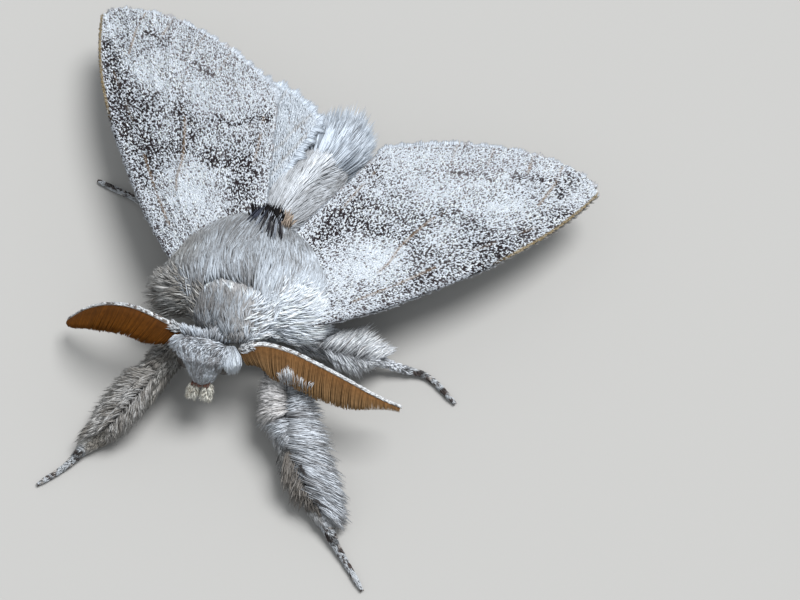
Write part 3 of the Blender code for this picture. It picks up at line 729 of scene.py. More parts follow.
def fringe(side, hind, rng, n, reach):
    """Hair-like scales along the outer and inner margins, in ragged clumps."""
    span = HW_SPAN if hind else FW_SPAN
    lead, trail = (hw_lead, hw_trail) if hind else (fw_lead, fw_trail)
    a = np.linspace(1.2, span - 0.02, 900)
    a = span * (1 - (1 - a / span) ** 1.6)
    b = trail(np.minimum(a, span - 0.05))
    pts = np.stack([a, b], 1)
    apex = np.stack([np.full(60, span - 0.18), np.linspace(trail(np.array([span - 0.05]))[0], lead(np.array([span - 0.2]))[0], 60)], 1)
    pts = np.concatenate([pts, apex])
    seg = np.r_[0, np.cumsum(np.hypot(*np.diff(pts, axis=0).T))]
    s = np.sort(rng.random(n)) * seg[-1]
    A = np.interp(s, seg, pts[:, 0])
    B = np.interp(s, seg, pts[:, 1])
    dA = np.interp(s + 0.1, seg, pts[:, 0]) - np.interp(s - 0.1, seg, pts[:, 0])
    dB = np.interp(s + 0.1, seg, pts[:, 1]) - np.interp(s - 0.1, seg, pts[:, 1])
    l = np.hypot(dA, dB) + 1e-9
    oa, ob = -dB / l, dA / l
    # outward from the wing's middle
    flip = np.sign(oa * (A - 8) + ob * (B - 2))
    oa, ob = oa * flip, ob * flip
    lean = 0.35 + 0.35 * flat_noise(A, B, 0.45, 91)
    oa, ob = oa + lean * 0.55, ob + lean * 0.15
    l = np.hypot(oa, ob)
    oa, ob = oa / l, ob / l
    clump = 0.5 + 0.5 * (0.6 * flat_noise(A, B, 0.42, 92) + 0.5 * flat_noise(A, B, 0.16, 93))
    scallop = 0.5 + 0.5 * np.cos(s * 2 * math.pi / 1.15 + 2.0 * flat_noise(A, B, 1.5, 94))
    L = reach * (0.34 + (0.42 if hind else 0.62) * clump + 0.34 * scallop) * (1 + 0.16 * rng.normal(0, 1, n).clip(-1.5, 1.5))
    # hardly any along a forewing's inner margin
    if not hind:
        L = lerp(L, 0.22 + 0 * L, smooth(FW_ANGLE - A, -0.2, 0.8))
    inset = 0.42 + 0.35 * rng.random(n)
    layer = rng.random(n)

    def at(q, up):
        p = wing_at(side, hind, A + oa * q, B + ob * q)
        p[:, 2] += up
        return p
    dz = (layer - 0.5) * 0.14
    root = at(-inset - 0.05, dz * 0.6)
    mid = at(-inset + 0.5 * (L + inset) * 0.9, dz + 0.02)
    tip = at(-0.40 + L, dz * 0.4 - 0.03 * rng.random(n))
    c = np.tile(np.array((0.46, 0.50, 0.55)) if not hind else np.array((0.50, 0.555, 0.62)), (n, 1)) * (1 + 0.13 * rng.normal(0, 1, (n, 1)))
    if not hind:
        c = c * (1 - 0.30 * smooth(FW_ANGLE - A, -0.2, 0.8))[:, None]
    spot = smooth(flat_noise(A, B, 0.7, 95), 0.25, 0.55) * (0.0 if hind else 0.55)
    c = lerp(c, np.array((0.33, 0.30, 0.29)), spot[:, None])
    return locks(root, mid, tip, np.tile((0.0, 0.0, 1.0), (n, 1)), np.full(n, 0.085 if not hind else 0.070), c * 0.9, c * 1.05,
                 wing_uv(A, B, hind, False), rings=2, thick=0.3)


# ------------------------------------------------------------------ trunk
THORAX_C = np.array((0.15, 0.05, 4.25))


def thorax_env(d):
    nx, ny, nz = d[:, 0], d[:, 1], d[:, 2]
    q = np.sqrt(np.maximum(1 - ny * ny, 1e-9))
    g = np.where(ny < 0, q ** -0.20, q ** -0.05)
    nx, nz = nx * g, nz * g
    up, dn = np.maximum(nz, 0), np.maximum(-nz, 0)
    rx = 5.60 * (1.0 - 0.16 * up - 0.05 * dn)
    rx = rx * (1.0 - 0.12 * smooth(ny, 0.15, 0.95)) * (1.0 + 0.07 * smooth(-ny, 0.1, 0.6))
    rx = rx * (1.0 - 0.13 * smooth(-nx, 0.2, 0.6) * smooth(ny, -0.45, 0.05)) * (1.0 + 0.04 * smooth(-nx, 0.3, 0.8) * smooth(-ny, 0.3, 0.6))
    rz = np.where(nz > 0, 3.62, 3.0)
    x = THORAX_C[0] + rx * nx
    y = THORAX_C[1] + 4.02 * ny
    z = THORAX_C[2] + rz * nz
    z = z + 0.16 * (y - THORAX_C[1]) * up * np.where(y < 0, 1.0, 0.45)
    z = z + 0.55 * np.exp(-((x - 0.3) / 1.3) ** 2 - ((y - 3.0) / 1.0) ** 2) * up
    z = z + 0.25 * np.exp(-((np.abs(x - 0.15) - 4.0) / 1.1) ** 2 - ((y + 0.4) / 2.4) ** 2) * up
    return np.stack([x, y, np.maximum(z, 1.2)], 1)


COLLAR_C, COLLAR_R = np.array((0.42, -2.68, 4.93)), np.array((2.66, 2.45, 2.32))


def collar_env(d):
    return COLLAR_C + COLLAR_R * d


ABDOMEN_LINE = ((0.1, 3.2, 3.05), (0.2, 5.6, 3.05), (0.85, 8.8, 2.85), (2.05, 12.3, 2.45))


def axis_frame(line, t, turn=1.0, cols=3, h=0.015):
    p = spline(line, t)
    d = unit((spline(line, np.minimum(t + h, 1)) - spline(line, np.maximum(t - h, 0)))[:, :3])
    side = unit(np.cross(d, (0.0, 0.0, 1.0))) * turn
    up = unit(np.cross(side, d))
    up = up * np.where(up[:, 2:3] < 0, -1.0, 1.0)
    return p, d, side, up


def abdomen_env(t, a):
    p, d, side, up = axis_frame(ABDOMEN_LINE, t)
    full = np.sqrt(np.maximum(1.0 - np.abs(2 * t - 1.0) ** 4.5, 0.0))
    w = 2.30 * full * (1.0 - 0.22 * smooth(t, 0.35, 1.0))
    h = 1.92 * full * (1.0 - 0.22 * smooth(t, 0.35, 1.0))
    ridge = 1.0 + 0.03 * np.cos(2 * (a - math.pi / 2))
    q = p + side * (w * np.cos(a) * ridge)[:, None] + up * (h * np.sin(a) * ridge)[:, None]
    q[:, 2] = np.maximum(q[:, 2], 0.8)
    return q


CROWN, MOUTH = np.array((-0.36, -4.85, 5.35)), np.array((0.10, -7.45, 3.15))


def head_axes():
    down = unit(MOUTH - CROWN)
    side = unit(np.cross(down, (0.0, 0.0, 1.0)))
    if side[0] < 0:
        side = -side
    face = unit(np.cross(side, down))
    if face[2] < 0:
        face = -face
    return down, side, face


DOWN, SIDE, FACE = head_axes()
HEAD_LEN = np.linalg.norm(MOUTH - CROWN)


def head_env(d):
    """d is read in the head's own axes: x across, y from mouth to crown, z out of the face."""
    t = np.arccos(np.clip(d[:, 1], -1, 1)) / math.pi
    a = np.arctan2(d[:, 2], d[:, 0])
    full = np.sqrt(np.maximum(1.0 - np.abs(2 * t - 1.0) ** 3.4, 0.0))
    w = full * np.interp(t, (0, 0.12, 0.30, 0.42, 0.52, 0.64, 0.85, 1.0), (1.95, 1.98, 2.0, 1.72, 1.34, 1.20, 0.98, 0.85))
    h = full * np.interp(t, (0, 0.3, 0.6, 0.9, 1.0), (1.30, 1.36, 1.18, 0.92, 0.85))
    return CROWN + DOWN * (HEAD_LEN * t)[:, None] + SIDE * (w * np.cos(a))[:, None] + FACE * (h * np.sin(a))[:, None]


EYE = {s: CROWN + DOWN * (HEAD_LEN * 0.56) - FACE * 0.28 + SIDE * (SIGN[s] * 1.18) for s in ("left", "right")}
EYE_R = 0.66

LEGS = {
    "foreleg_left": (
        (3.0, -4.4, 2.2, 1.3, 1.2, 1.10), (4.7, -5.9, 2.25, 1.9, 1.6, 1.15),
        (5.8, -7.3, 2.2, 2.4, 2.2, 1.20), (6.6, -8.6, 1.95, 1.9, 1.3, 1.05),
        (7.4, -9.6, 1.65, 2.5, 1.5, 1.05), (8.4, -10.6, 1.3, 2.3, 1.3, 0.9), (9.4, -11.6, 0.95, 1.7, 0.8, 0.7),
        (10.9, -13.0, 0.45, 0.7, 0.32, 0.42), (12.4, -14.1, 0.22, 0.3, 0.3, 0.29),
        (14.0, -15.4, 0.2, 0.26, 0.26, 0.27)),
    "foreleg_right": (
        (-2.5, -4.2, 2.2, 1.2, 1.1, 1.10), (-2.95, -6.0, 2.3, 1.5, 1.2, 1.15),
        (-3.3, -7.5, 2.35, 1.5, 1.2, 1.10), (-3.8, -8.9, 2.0, 2.1, 1.4, 1.10),
        (-4.3, -10.3, 1.55, 2.1, 1.2, 0.95),
        (-4.9, -11.8, 1.0, 1.7, 0.9, 0.75), (-5.7, -13.2, 0.5, 0.9, 0.4, 0.45),
        (-6.5, -14.7, 0.22, 0.3, 0.3, 0.29), (-7.62, -16.37, 0.2, 0.26, 0.26, 0.27)),
    "midleg_left": (
        (3.2, -1.6, 2.1, 1.3, 1.3, 1.10), (5.4, -1.5, 2.35, 1.5, 1.5, 1.15),
        (7.6, -1.3, 2.0, 1.15, 1.15, 0.95), (9.8, -1.1, 1.15, 0.46, 0.46, 0.44),
        (11.2, -0.85, 0.6, 0.36, 0.36, 0.35), (12.8, -0.7, 0.22, 0.3, 0.3, 0.29),
        (15.06, -1.8, 0.2, 0.26, 0.26, 0.27)),
    "midleg_right": (
        (-2.9, 0.0, 2.1, 1.2, 1.2, 1.10), (-4.6, 1.3, 2.35, 1.2, 1.2, 1.10),
        (-6.4, 2.9, 1.9, 1.1, 1.1, 0.95), (-8.4, 4.1, 1.0, 0.85, 0.85, 0.65),
        (-10.4, 4.5, 0.42, 0.36, 0.36, 0.36), (-12.1, 4.75, 0.22, 0.3, 0.3, 0.29),
        (-13.6, 4.94, 0.2, 0.26, 0.26, 0.27)),
    "hindleg_left": (
        (2.9, 1.6, 1.9, 1.1, 1.1, 0.95), (4.9, 3.1, 2.0, 1.2, 1.2, 1.00),
        (7.0, 5.6, 1.7, 1.1, 1.1, 0.90), (8.9, 8.2, 0.9, 0.8, 0.8, 0.65),
        (10.0, 9.8, 0.4, 0.36, 0.36, 0.34), (10.9, 11.2, 0.22, 0.3, 0.3, 0.29),
        (11.7, 12.6, 0.2, 0.26, 0.26, 0.27)),
    "hindleg_right": (
        (-2.5, 2.4, 1.9, 1.0, 1.0, 0.95), (-3.9, 4.4, 2.0, 1.1, 1.1, 1.00),
        (-5.2, 7.0, 1.7, 1.0, 1.0, 0.90), (-6.4, 9.4, 0.9, 0.8, 0.8, 0.65),
        (-7.2, 11.0, 0.4, 0.36, 0.36, 0.34), (-7.9, 12.4, 0.22, 0.3, 0.3, 0.29),
        (-8.5, 13.8, 0.2, 0.26, 0.26, 0.27)),
}


def leg_surfaces(rows):
    turn = -1.0 if rows[-1][0] > 0 else 1.0

    def env(t, a, k=1.0):
        row, d, side, up = axis_frame(rows, t, turn)
        full = np.maximum(1.0 - np.abs(2 * t - 1.0) ** 14, 0) ** 0.5
        w = np.where(np.cos(a) > 0, row[:, 3], row[:, 4]) * full * k
        h = row[:, 5] * full * k
        q = row[:, :3] + side * (w * np.cos(a))[:, None] + up * (h * np.sin(a))[:, None]
        q[:, 2] = np.maximum(q[:, 2], 0.015)
        return q

    def core(t, a):
        row, d, side, up = axis_frame(rows, t, turn)
        full = np.maximum(1.0 - np.abs(2 * t - 1.0) ** 20, 0) ** 0.5
        fat = row[:, 5]
        r = np.minimum(0.14 + 0.29 * smooth(fat, 0.3, 1.0), row[:, 5] * 0.62) * full
        # swollen joints of the tarsus
        r = r * (1 + 0.12 * np.cos(2 * math.pi * np.clip((t - 0.72) / 0.28, 0, 1) * 5) * smooth(t, 0.70, 0.76))
        q = row[:, :3] + side * (r * np.cos(a))[:, None] + up * (r * np.sin(a))[:, None]
        q[:, 2] = np.maximum(q[:, 2], 0.012)
        return q

    mid = lambda t: spline(rows, t)[:, :3]
    length = np.linalg.norm(np.diff(np.array(rows)[:, :3], axis=0), axis=1).sum()
    return env, Tube(core, mid, length)


# ------------------------------------------------------------------ skin
def tube_grid(tube_f, nu, nv, k=None):
    t = np.linspace(0, 1, nu + 1)
    a = np.linspace(0, 2 * math.pi, nv, endpoint=False)
    T, A = np.meshgrid(t, a, indexing="ij")
    P = tube_f(T.ravel(), A.ravel())
    i, j = np.meshgrid(np.arange(nu), np.arange(nv), indexing="ij")
    x = (i * nv + j).ravel()
    y = (i * nv + (j + 1) % nv).ravel()
    F = np.stack([x, x + nv, y + nv, y], 1)
    return P, F


def make_skin():
    V, F, at = [], [], 0

    def add(P, faces):
        nonlocal at
        V.append(P)
        F.append(faces + at)
        at += len(P)

    def add_dome(f, depth, axes=None, squash=1.0):
        t = np.linspace(0, math.pi, 33)
        a = np.linspace(0, 2 * math.pi, 48, endpoint=False)
        T, A = np.meshgrid(t, a, indexing="ij")
        d = np.stack([np.sin(T) * np.cos(A), np.cos(T), np.sin(T) * np.sin(A)], -1).reshape(-1, 3)
        dome = Dome(f)
        p, n, _ = dome.frame(unit(d + 1e-6))
        c = p.mean(0)
        P = p - n * depth
        i, j = np.meshgrid(np.arange(32), np.arange(48), indexing="ij")
        x = (i * 48 + j).ravel()
        y = (i * 48 + (j + 1) % 48).ravel()
        add(P, np.stack([x, x + 48, y + 48, y], 1))

    add_dome(thorax_env, 0.95)
    add_dome(collar_env, 0.55)
    add_dome(head_env, 0.42)
    P, f = tube_grid(lambda t, a: abdomen_env(t, a) * 1.0, 40, 36)
    mid = np.repeat(spline(ABDOMEN_LINE, np.linspace(0, 1, 41)), 36, 0)
    add(mid + (P - mid) * 0.74, f)
    for rows in LEGS.values():
        env, core = leg_surfaces(rows)
        P, f = tube_grid(core.f, 70, 12)
        add(P, f)
    for s in ("left", "right"):
        P, f = tube_grid(palp_core(s), 14, 12)
        add(P, f)
    me = bpy.data.meshes.new("skin")
    v = np.concatenate(V)
    q = np.concatenate(F)
    me.from_pydata(((v + SHIFT)).tolist(), [], q.tolist())
    me.update()
    ob = bpy.data.objects.new("skin", me)
    bpy.context.scene.collection.objects.link(ob)
    r = ob.modifiers.new("one skin", "REMESH")
    r.mode = "VOXEL"
    r.voxel_size = 0.15
    r.use_smooth_shade = True
    sm = ob.modifiers.new("soften", "SMOOTH")
    sm.iterations = 3
    sm.factor = 0.5
    bpy.context.view_layer.update()
    dg = bpy.context.evaluated_depsgraph_get()
    out = bpy.data.meshes.new_from_object(ob.evaluated_get(dg))
    bpy.data.objects.remove(ob, do_unlink=True)
    bpy.data.meshes.remove(me)
    v = np.zeros(len(out.vertices) * 3)
    out.vertices.foreach_get("co", v)
    v = v.reshape(-1, 3) - SHIFT
    loops = np.zeros(len(out.loops), int)
    out.loops.foreach_get("vertex_index", loops)
    tot = np.zeros(len(out.polygons), int)
    out.polygons.foreach_get("loop_total", tot)
    st = np.zeros(len(out.polygons), int)
    out.polygons.foreach_get("loop_start", st)
    quads = loops[st[tot == 4][:, None] + np.arange(4)]
    tris = loops[st[tot == 3][:, None] + np.arange(3)]
    bpy.data.meshes.remove(out)
    c = skin_painted_shade(v)
    return build("body_skin", v, [quads, tris], c)


def palp_core(side_name):
    s = SIGN[side_name]
    start = MOUTH - DOWN * 0.35 + SIDE * (0.42 * s) - FACE * 0.05
    end = MOUTH + unit(np.array((0.05, -1.0, -0.55))) * 1.25 * 0.55 + SIDE * (0.46 * s)
    d = unit(end - start)
    lat = unit(np.cross(d, (0.0, 0.0, 1.0)))
    up = np.cross(lat, d)

    def f(t, a):
        full = np.sqrt(np.maximum(1.0 - np.abs(2 * t - 1.0) ** 2.2, 0.0))
        r = 0.23 * full
        return start + (end - start) * t[:, None] + lat * (r * 0.92 * np.cos(a))[:, None] + up * (r * 1.2 * np.sin(a))[:, None]
    return f


def trunk_tone(p):
    """How bright the coat is at a place of the trunk, before single hairs differ."""
    x, y, z = p[:, 0], p[:, 1], p[:, 2]
    k = np.full(len(p), 0.62)
    return k


# painted shade: the skin under the coat is a darker version of the hair over it, standing for the shaded depth of the
# coat; paler under the pale hair of the abdomen's top and the head
def skin_painted_shade(p):
    x, y, z = p[:, 0], p[:, 1], p[:, 2]
    c = np.tile(np.array((0.125, 0.120, 0.120)), (len(p), 1))
    tail = smooth(y, 4.2, 5.2) * smooth(3.2 - np.abs(x - 0.9), 0.0, 0.5)
    c = lerp(c, np.array((0.36, 0.355, 0.355)), (tail * smooth(z, 2.2, 3.4))[:, None])
    head = smooth(-y, 5.2, 5.8) * smooth(2.4 - np.abs(x + 0.1), 0.0, 0.3) * smooth(z, 2.2, 2.8)
    c = lerp(c, np.array((0.30, 0.30, 0.315)), head[:, None])
    return c


# ------------------------------------------------------------------ flows
FAN_X = np.array((-5.5, -3.9, -3.5, -1.3, -0.4, 0.9, 1.8, 2.4, 3.7, 4.4, 6.0))
FAN_A = np.array((-88, -78, -52, -46, -24, -22, -10, -3, 9, 42, 52))
REAR_X = np.array((-6.0, -3.4, -1.7, -0.5, 0.8, 1.3, 2.4, 3.5, 4.5, 5.3, 6.0))
REAR_A = np.array((-22, 2, 6, 13, -8, -22, -19, -12, 0, 21, 32))


def trunk_flow(p, n):
    x, y = p[:, 0], p[:, 1]
    a = lerp(np.interp(x, FAN_X, FAN_A), np.interp(x, REAR_X, REAR_A), smooth(y, -2.8, -0.8))
    r = np.radians(a)
    f = np.stack([np.sin(r), np.cos(r), -0.12 + 1.5 * smooth(-n[:, 1], 0.3, 0.95) * smooth(3.2 - np.abs(x - 0.4), 0, 1.5)], 1)
    # sides and belly: down and back
    low = (smooth(-n[:, 2], -0.35, 0.25) * (1 - 0.8 * smooth(-n[:, 1], 0.3, 0.8) * smooth(2.6 - np.abs(x - 0.4), 0, 1.0) * smooth(p[:, 2], 3.0, 4.0)))[:, None]
    under = np.stack([0.25 * np.sign(x - 0.15) * smooth(n[:, 2] + 0.6, 0, 0.6), np.full_like(x, 0.75), np.full_like(x, -0.55)], 1)
    return tangent(lerp(f, under, low), n)


def turned(T, n, ang):
    return T * np.cos(ang)[:, None] + np.cross(n, T) * np.sin(ang)[:, None]


def lay(surf, d, rng, L, width, depth, flow, white, grey, dark, mix, root_painted_shade=0.42, clump=0.22, jitter=0.13,
        lift=0.16, seed=1, rings=3, warm=None, shade=None, out=0.0, pull=0.0, cell=0.55, tip_painted_light=None, grain=None, size=0.42):
    """Lays locks over a closed shape: rooted depth under it, tips at it."""
    n = len(d)
    p, nn, fr = surf.frame(d)
    T = flow(p, nn)
    T = turned(T, nn, clump * 1.5 * noise(p, 0.75, seed) + clump * noise(p, 0.33, seed + 2) + rng.normal(0, jitter, n))
    L = np.broadcast_to(L, (n,)) * (1 + 0.16 * rng.normal(0, 1, n).clip(-1.6, 1.6))
    fr4 = fr if len(fr) == 4 else None
    if fr4 is not None:
        d2 = surf.step(d, fr, T * L[:, None])
    else:
        a, b = solve(fr[0], fr[1], T * L[:, None])
        d2 = np.stack([np.clip(d[:, 0] + a, 0, 0.995), d[:, 1] + np.clip(b, -1.2, 1.2)], 1)
    q, nq, _ = surf.frame(d2)
    # keep to the asked length where the shape curls away
    go = q - p
    far = np.linalg.norm(go, axis=1)
    q = p + go * np.minimum(1.0, L * 1.1 / np.maximum(far, 1e-6))[:, None]
    ridge = noise(p, 0.40, seed + 4)
    root = p - nn * depth
    tip = q + nn * ((rng.random(n) - 0.62) * lift + 0.12 * ridge * depth + out)[:, None]
    if pull > 0:
        i = np.floor(tip / cell + 0.4 * noise(tip, 1.1, seed + 5)[:, None]).astype(np.int64)
        at = (i + 0.5 + 0.32 * np.stack([hashed(i, seed + 7), hashed(i, seed + 8), hashed(i, seed + 9)], 1)) * cell
        go = at - tip
        go = go - nn * (go * nn).sum(1, keepdims=True)
        tip = tip + go * pull
    mid = p + T * (L * 0.42)[:, None] + nn * (depth * 0.10 * ridge + 0.02 - depth * 0.25 * rng.random(n))[:, None]
    c = tones(rng, n, p if grain is None else grain(p), white, grey, dark, mix, size=size, seed=seed + 6)
    # painted light and shade multiplied in by place and facing
    if shade is not None:
        c = c * shade(p, nn)[:, None]
    if warm is not None:
        w, col = warm(p)
        c = lerp(c, c * np.array(col), w[:, None])
    w = np.broadcast_to(width, (n,)) * (1 + 0.2 * rng.normal(0, 1, n).clip(-1.5, 1.5))
    # the root colour is darkened as painted shade deep in the coat; tips can get a painted highlight
    ct = c * 1.06 if tip_painted_light is None else c * (1.06 * tip_painted_light(tip))[:, None]
    return locks(root, mid, tip, nn, w, c * root_painted_shade, np.minimum(ct, 0.86), surf.unwrap(d), rings=rings)


# ================================================================== build
rng = np.random.default_rng(20)
fur = hair_mat("thorax_hair", spread=0.08)
fur_black = hair_mat("black_hair", rough=0.75, sheen=0.0, spec=0.08)
fur_head = hair_mat("head_hair", rough=0.6)
fur_abd = hair_mat("abdomen_hair", rough=0.45, sheen=0.25, spread=0.06)
fur_leg = hair_mat("leg_hair", rough=0.6)
fur_tail = hair_mat("tail_hair", rough=0.5, sheen=0.2, spread=0.06)
skin_m = skin_mat("body_under_hair")

W_FUR, G_FUR, D_FUR = (0.50, 0.555, 0.62), (0.225, 0.235, 0.25), (0.060, 0.054, 0.054)

skin = place(make_skin(), skin_m, "thorax_coat", "thorax", "collar", "abdomen", "tail_tuft", "head", "palp_left", "palp_right",
             *LEGS.keys())

thorax = Dome(thorax_env)
collar = Dome(collar_env)
head = Dome(head_env)


def in_collar(p, by=0.0):
    return (((p - COLLAR_C) / (COLLAR_R - by)) ** 2).sum(1) < 1


def in_thorax(p, by=0.0):
    q = (p - THORAX_C) / (np.array((5.2, 4.0, 3.4)) - by)
    return (q ** 2).sum(1) < 1


def thorax_painted_light(p, n):
    """Painted light and shade: the left shoulder lit whiter, the right front corner, browner too, darker in painted
    shade, and the underside darker in painted shade.
    """
    k = 1.0 + 0.30 * smooth(p[:, 0], 1.2, 4.2) - 0.20 * smooth(-p[:, 0], 2.5, 5.0) * smooth(-p[:, 1], 0.5, 2.5)
    k = k * (1 - 0.17 * bell(p[:, 0], -2.5, 1.2) * bell(p[:, 1], 0.1, 1.5)) * (1 - 0.16 * bell(p[:, 0], 3.2, 1.2) * bell(p[:, 1], 1.2, 1.6))
    k = k * (1 - 0.10 * bell(p[:, 0], 2.7, 1.0) * bell(p[:, 1], 0.1, 1.0))
    return 0.89 * k * (1 - 0.13 * bell(p[:, 0], 0.2, 1.8) * bell(p[:, 1], 0.6, 1.8)) * (1 - 0.12 * smooth(-n[:, 2], -0.1, 0.6))


def warm_side(p):
    return smooth(-p[:, 0], 1.5, 4.5) * smooth(-p[:, 1], -1.0, 2.0) * 0.8 + 0.12, (1.0, 0.955, 0.87)


d = thorax.sample(19500, rng, lambda p, n: np.where(n[:, 2] > -0.25, 1.0, 0.42))
p = thorax.f(d)
keep = ~in_collar(p, 0.35)
# the wings pass out of the sides: no hair grows from within them
for s in ("left", "right"):
    side = p[:, 0] * SIGN[s]
    z = wing_height(s, side, p[:, 1])
    keep &= ~((side > 3.4) & (np.abs(p[:, 2] - z) < 0.20) & (p[:, 1] > -1.6))
d = d[keep]
p = thorax.f(d)
mix_g = 0.37 + 0.08 * smooth(-p[:, 0], 1.0, 4.0) - 0.12 * smooth(p[:, 0], 2.0, 4.5)
mix_d = 0.12 + 0.04 * smooth(-p[:, 0], 0.0, 3.0) - 0.03 * smooth(p[:, 0], 2.5, 4.5)
L = 2.15 - 0.45 * smooth(p[:, 1], 2.2, 3.6) + 0.2 * smooth(np.abs(p[:, 0]), 3, 5)
half = p[:, 0] < 0.3
for nm, sel in (("right", half), ("left", ~half)):
    part = lay(thorax, d[sel], rng, L[sel] * 1.08, 0.112, 0.70, trunk_flow, W_FUR, G_FUR, D_FUR, (mix_g[sel], mix_d[sel]),
               seed=30, shade=thorax_painted_light, warm=warm_side, lift=0.22, root_painted_shade=0.34, pull=0.38, cell=0.52, grain=lambda p: p * np.array((1.6, 0.62, 0.8)), size=0.36, rings=2)
    coat_piece("coat_thorax_" + nm, [part], fur, "thorax_coat")

# loose fans of long hair at the two front corners
def corner(surf, n, weight, bearing, rise, spread, length, white, grey, dark, mix, seed, sag=0.0):
    d = surf.sample(n, rng, weight)
    p, nn, _ = surf.frame(d)
    m = len(p)
    g = noise(p, 0.5, seed)
    r = np.radians(bearing(p) + 9 * g + spread * rng.normal(0, 1, m))
    T = unit(np.stack([np.cos(r), np.sin(r), rise + 0.10 * rng.normal(0, 1, m)], 1))
    Lh = length(p) * (0.72 + 0.34 * rng.random(m) + 0.20 * g)
    tip = p + T * Lh[:, None]
    tip[:, 2] -= sag * rng.random(m)
    i = np.floor(tip / 0.5).astype(np.int64)
    at = (i + 0.5 + 0.3 * np.stack([hashed(i, seed + 1), hashed(i, seed + 2), hashed(i, seed + 3)], 1)) * 0.5
    go = at - tip
    tip = tip + (go - T * (go * T).sum(1, keepdims=True)) * 0.40
    mid = p + unit(T + nn * 0.30) * (Lh * 0.5)[:, None]
    c = tones(rng, m, p, white, grey, dark, mix, seed=seed + 6)
    return locks(p - nn * 0.5, mid, tip, nn, np.full(m, 0.092) * (1 + 0.15 * rng.normal(0, 1, m).clip(-1.5, 1.5)), c * 0.62,
                 np.minimum(c * 1.05, 0.86), surf.unwrap(d), rings=2)


# the right corner's tones are darker than the left's: a browner grey of its own, darkened further as painted shade
R_LOOK = ((0.42, 0.42, 0.41), (0.215, 0.205, 0.19), (0.07, 0.062, 0.055), (0.42, 0.12))
L_LOOK = ((0.74, 0.80, 0.87), (0.57, 0.615, 0.67), (0.30, 0.29, 0.29), (0.34, 0.04))


def right_band(p, n):
    return smooth(-p[:, 0], 1.3, 2.8) * smooth(-p[:, 1], 1.7, 2.9) * smooth(p[:, 2], 1.9, 2.7) * smooth(6.6 - p[:, 2], 0, 1.4)


def left_band(p, n):
    return smooth(p[:, 0], 1.7, 3.4) * smooth(-p[:, 1], -0.1, 1.9) * smooth(p[:, 2], 3.6, 4.6) * smooth(7.2 - p[:, 2], 0, 1.4)


def right_way(p):
    """The hair turns from straight back beside the collar to outwards at the corner."""
    return 136 + 72 * smooth(-p[:, 1], 1.8, 3.3) * (0.30 + 0.70 * smooth(-p[:, 0], 1.6, 3.2)) * (1 - 0.25 * smooth(p[:, 2], 4.6, 5.8))


def left_way(p):
    return 102 - 38 * smooth(p[:, 0], 1.5, 4.3) - 44 * smooth(-p[:, 1], 0.8, 3.2)


corners = [
    corner(thorax, 2400, right_band, right_way, 0.0, 8, lambda p: 0.70 + 0.90 * smooth(-p[:, 1], 2.0, 3.3) * smooth(-p[:, 0], 1.8, 3.4), *R_LOOK, 140, 0.25),
    corner(collar, 240, lambda p, n: smooth(-p[:, 0], 1.1, 1.8) * smooth(-p[:, 1], 1.4, 2.6) * smooth(p[:, 2], 3.6, 4.4) + 1e-9,
           lambda p: 134 + 0 * p[:, 0], 0.05, 8, lambda p: 1.2 + 0 * p[:, 0], *R_LOOK, 160, 0.2),
    corner(thorax, 3000, left_band, left_way, 0.05, 8, lambda p: 0.80 + 0.75 * smooth(-p[:, 1], 0.4, 2.6), *L_LOOK, 150),
    corner(collar, 300, lambda p, n: smooth(p[:, 0], 1.3, 2.1) * smooth(-p[:, 1], 1.4, 2.6) * smooth(p[:, 2], 4.2, 5.0) + 1e-9,
           lambda p: 92 - 40 * smooth(-p[:, 1], 1.8, 3.8), 0.05, 9, lambda p: 1.3 + 0 * p[:, 0], *L_LOOK, 170),
]
coat_piece("coat_front_corners", corners, fur, "thorax_coat")

# dome of the collar, with a painted highlight on the tips along its rear rim
d = collar.sample(5400, rng, lambda p, n: np.where((n[:, 2] > -0.35) & ~in_thorax(p, 0.45), 1.0, 0.02))


# painted light and shade: lit paler towards the moth's left, painted shade towards the front and at its front right
def collar_painted_light(p, n):
    k = 0.66 + 0.46 * smooth(p[:, 0], 0.6, 2.4)
    return k * (1 - 0.20 * smooth(-p[:, 1], 3.9, 5.0)) * (1 - 0.18 * smooth(-p[:, 1], 2.6, 4.2) * smooth(1.4 - p[:, 0], 0, 1.5))


coat_piece("coat_collar", [lay(collar, d, rng, 1.85, 0.105, 0.5, trunk_flow, W_FUR, (0.30, 0.30, 0.305), D_FUR, (0.42, 0.13),
                               seed=50, shade=collar_painted_light, warm=warm_side, lift=0.34, jitter=0.14, clump=0.30, pull=0.40, cell=0.50, rings=2,
                               tip_painted_light=lambda q: 1 + (1.75 - 1.3 * smooth(q[:, 0], 0.2, 1.1)) * bell(q[:, 1], -1.50, 0.48) * smooth(q[:, 2], 5.2, 6.0))], fur, "thorax_coat")

# black tuft over the base of the abdomen, with streaks between white tips
parts = []
n = 440
u = rng.normal(0, 0.36, n).clip(-0.80, 0.66)
q = np.stack([0.34 + u + 0.10 * rng.normal(0, 1, n), 2.86 + 0.22 * u + 0.29 * rng.normal(0, 1, n).clip(-1.7, 1.5)], 1)
root = np.stack([q[:, 0], q[:, 1], 6.65 - 0.12 * (q[:, 0] - 0.5) ** 2 - 0.30 * (q[:, 1] - 2.4)], 1)
lean = unit(np.stack([0.30 * (q[:, 0] - 0.5) - 0.10, np.full(n, 0.80), 0.46 + 0.25 * rng.random(n)], 1) + rng.normal(0, 0.13, (n, 3)))
Lb = 0.85 + 0.45 * rng.random(n)
tip = root + lean * Lb[:, None]
mid = root + lean * (Lb * 0.5)[:, None] + np.array((0, -0.03, 0.13))
c = np.tile(np.array((0.006, 0.0055, 0.006)), (n, 1)) * (1 + 0.8 * rng.random((n, 1)))
c[rng.random(n) < 0.08] = np.array((0.022, 0.025, 0.036))
pale = (rng.random(n) < 0.30) & (q[:, 1] < 2.75)
c[pale] = np.array((0.34, 0.37, 0.42))
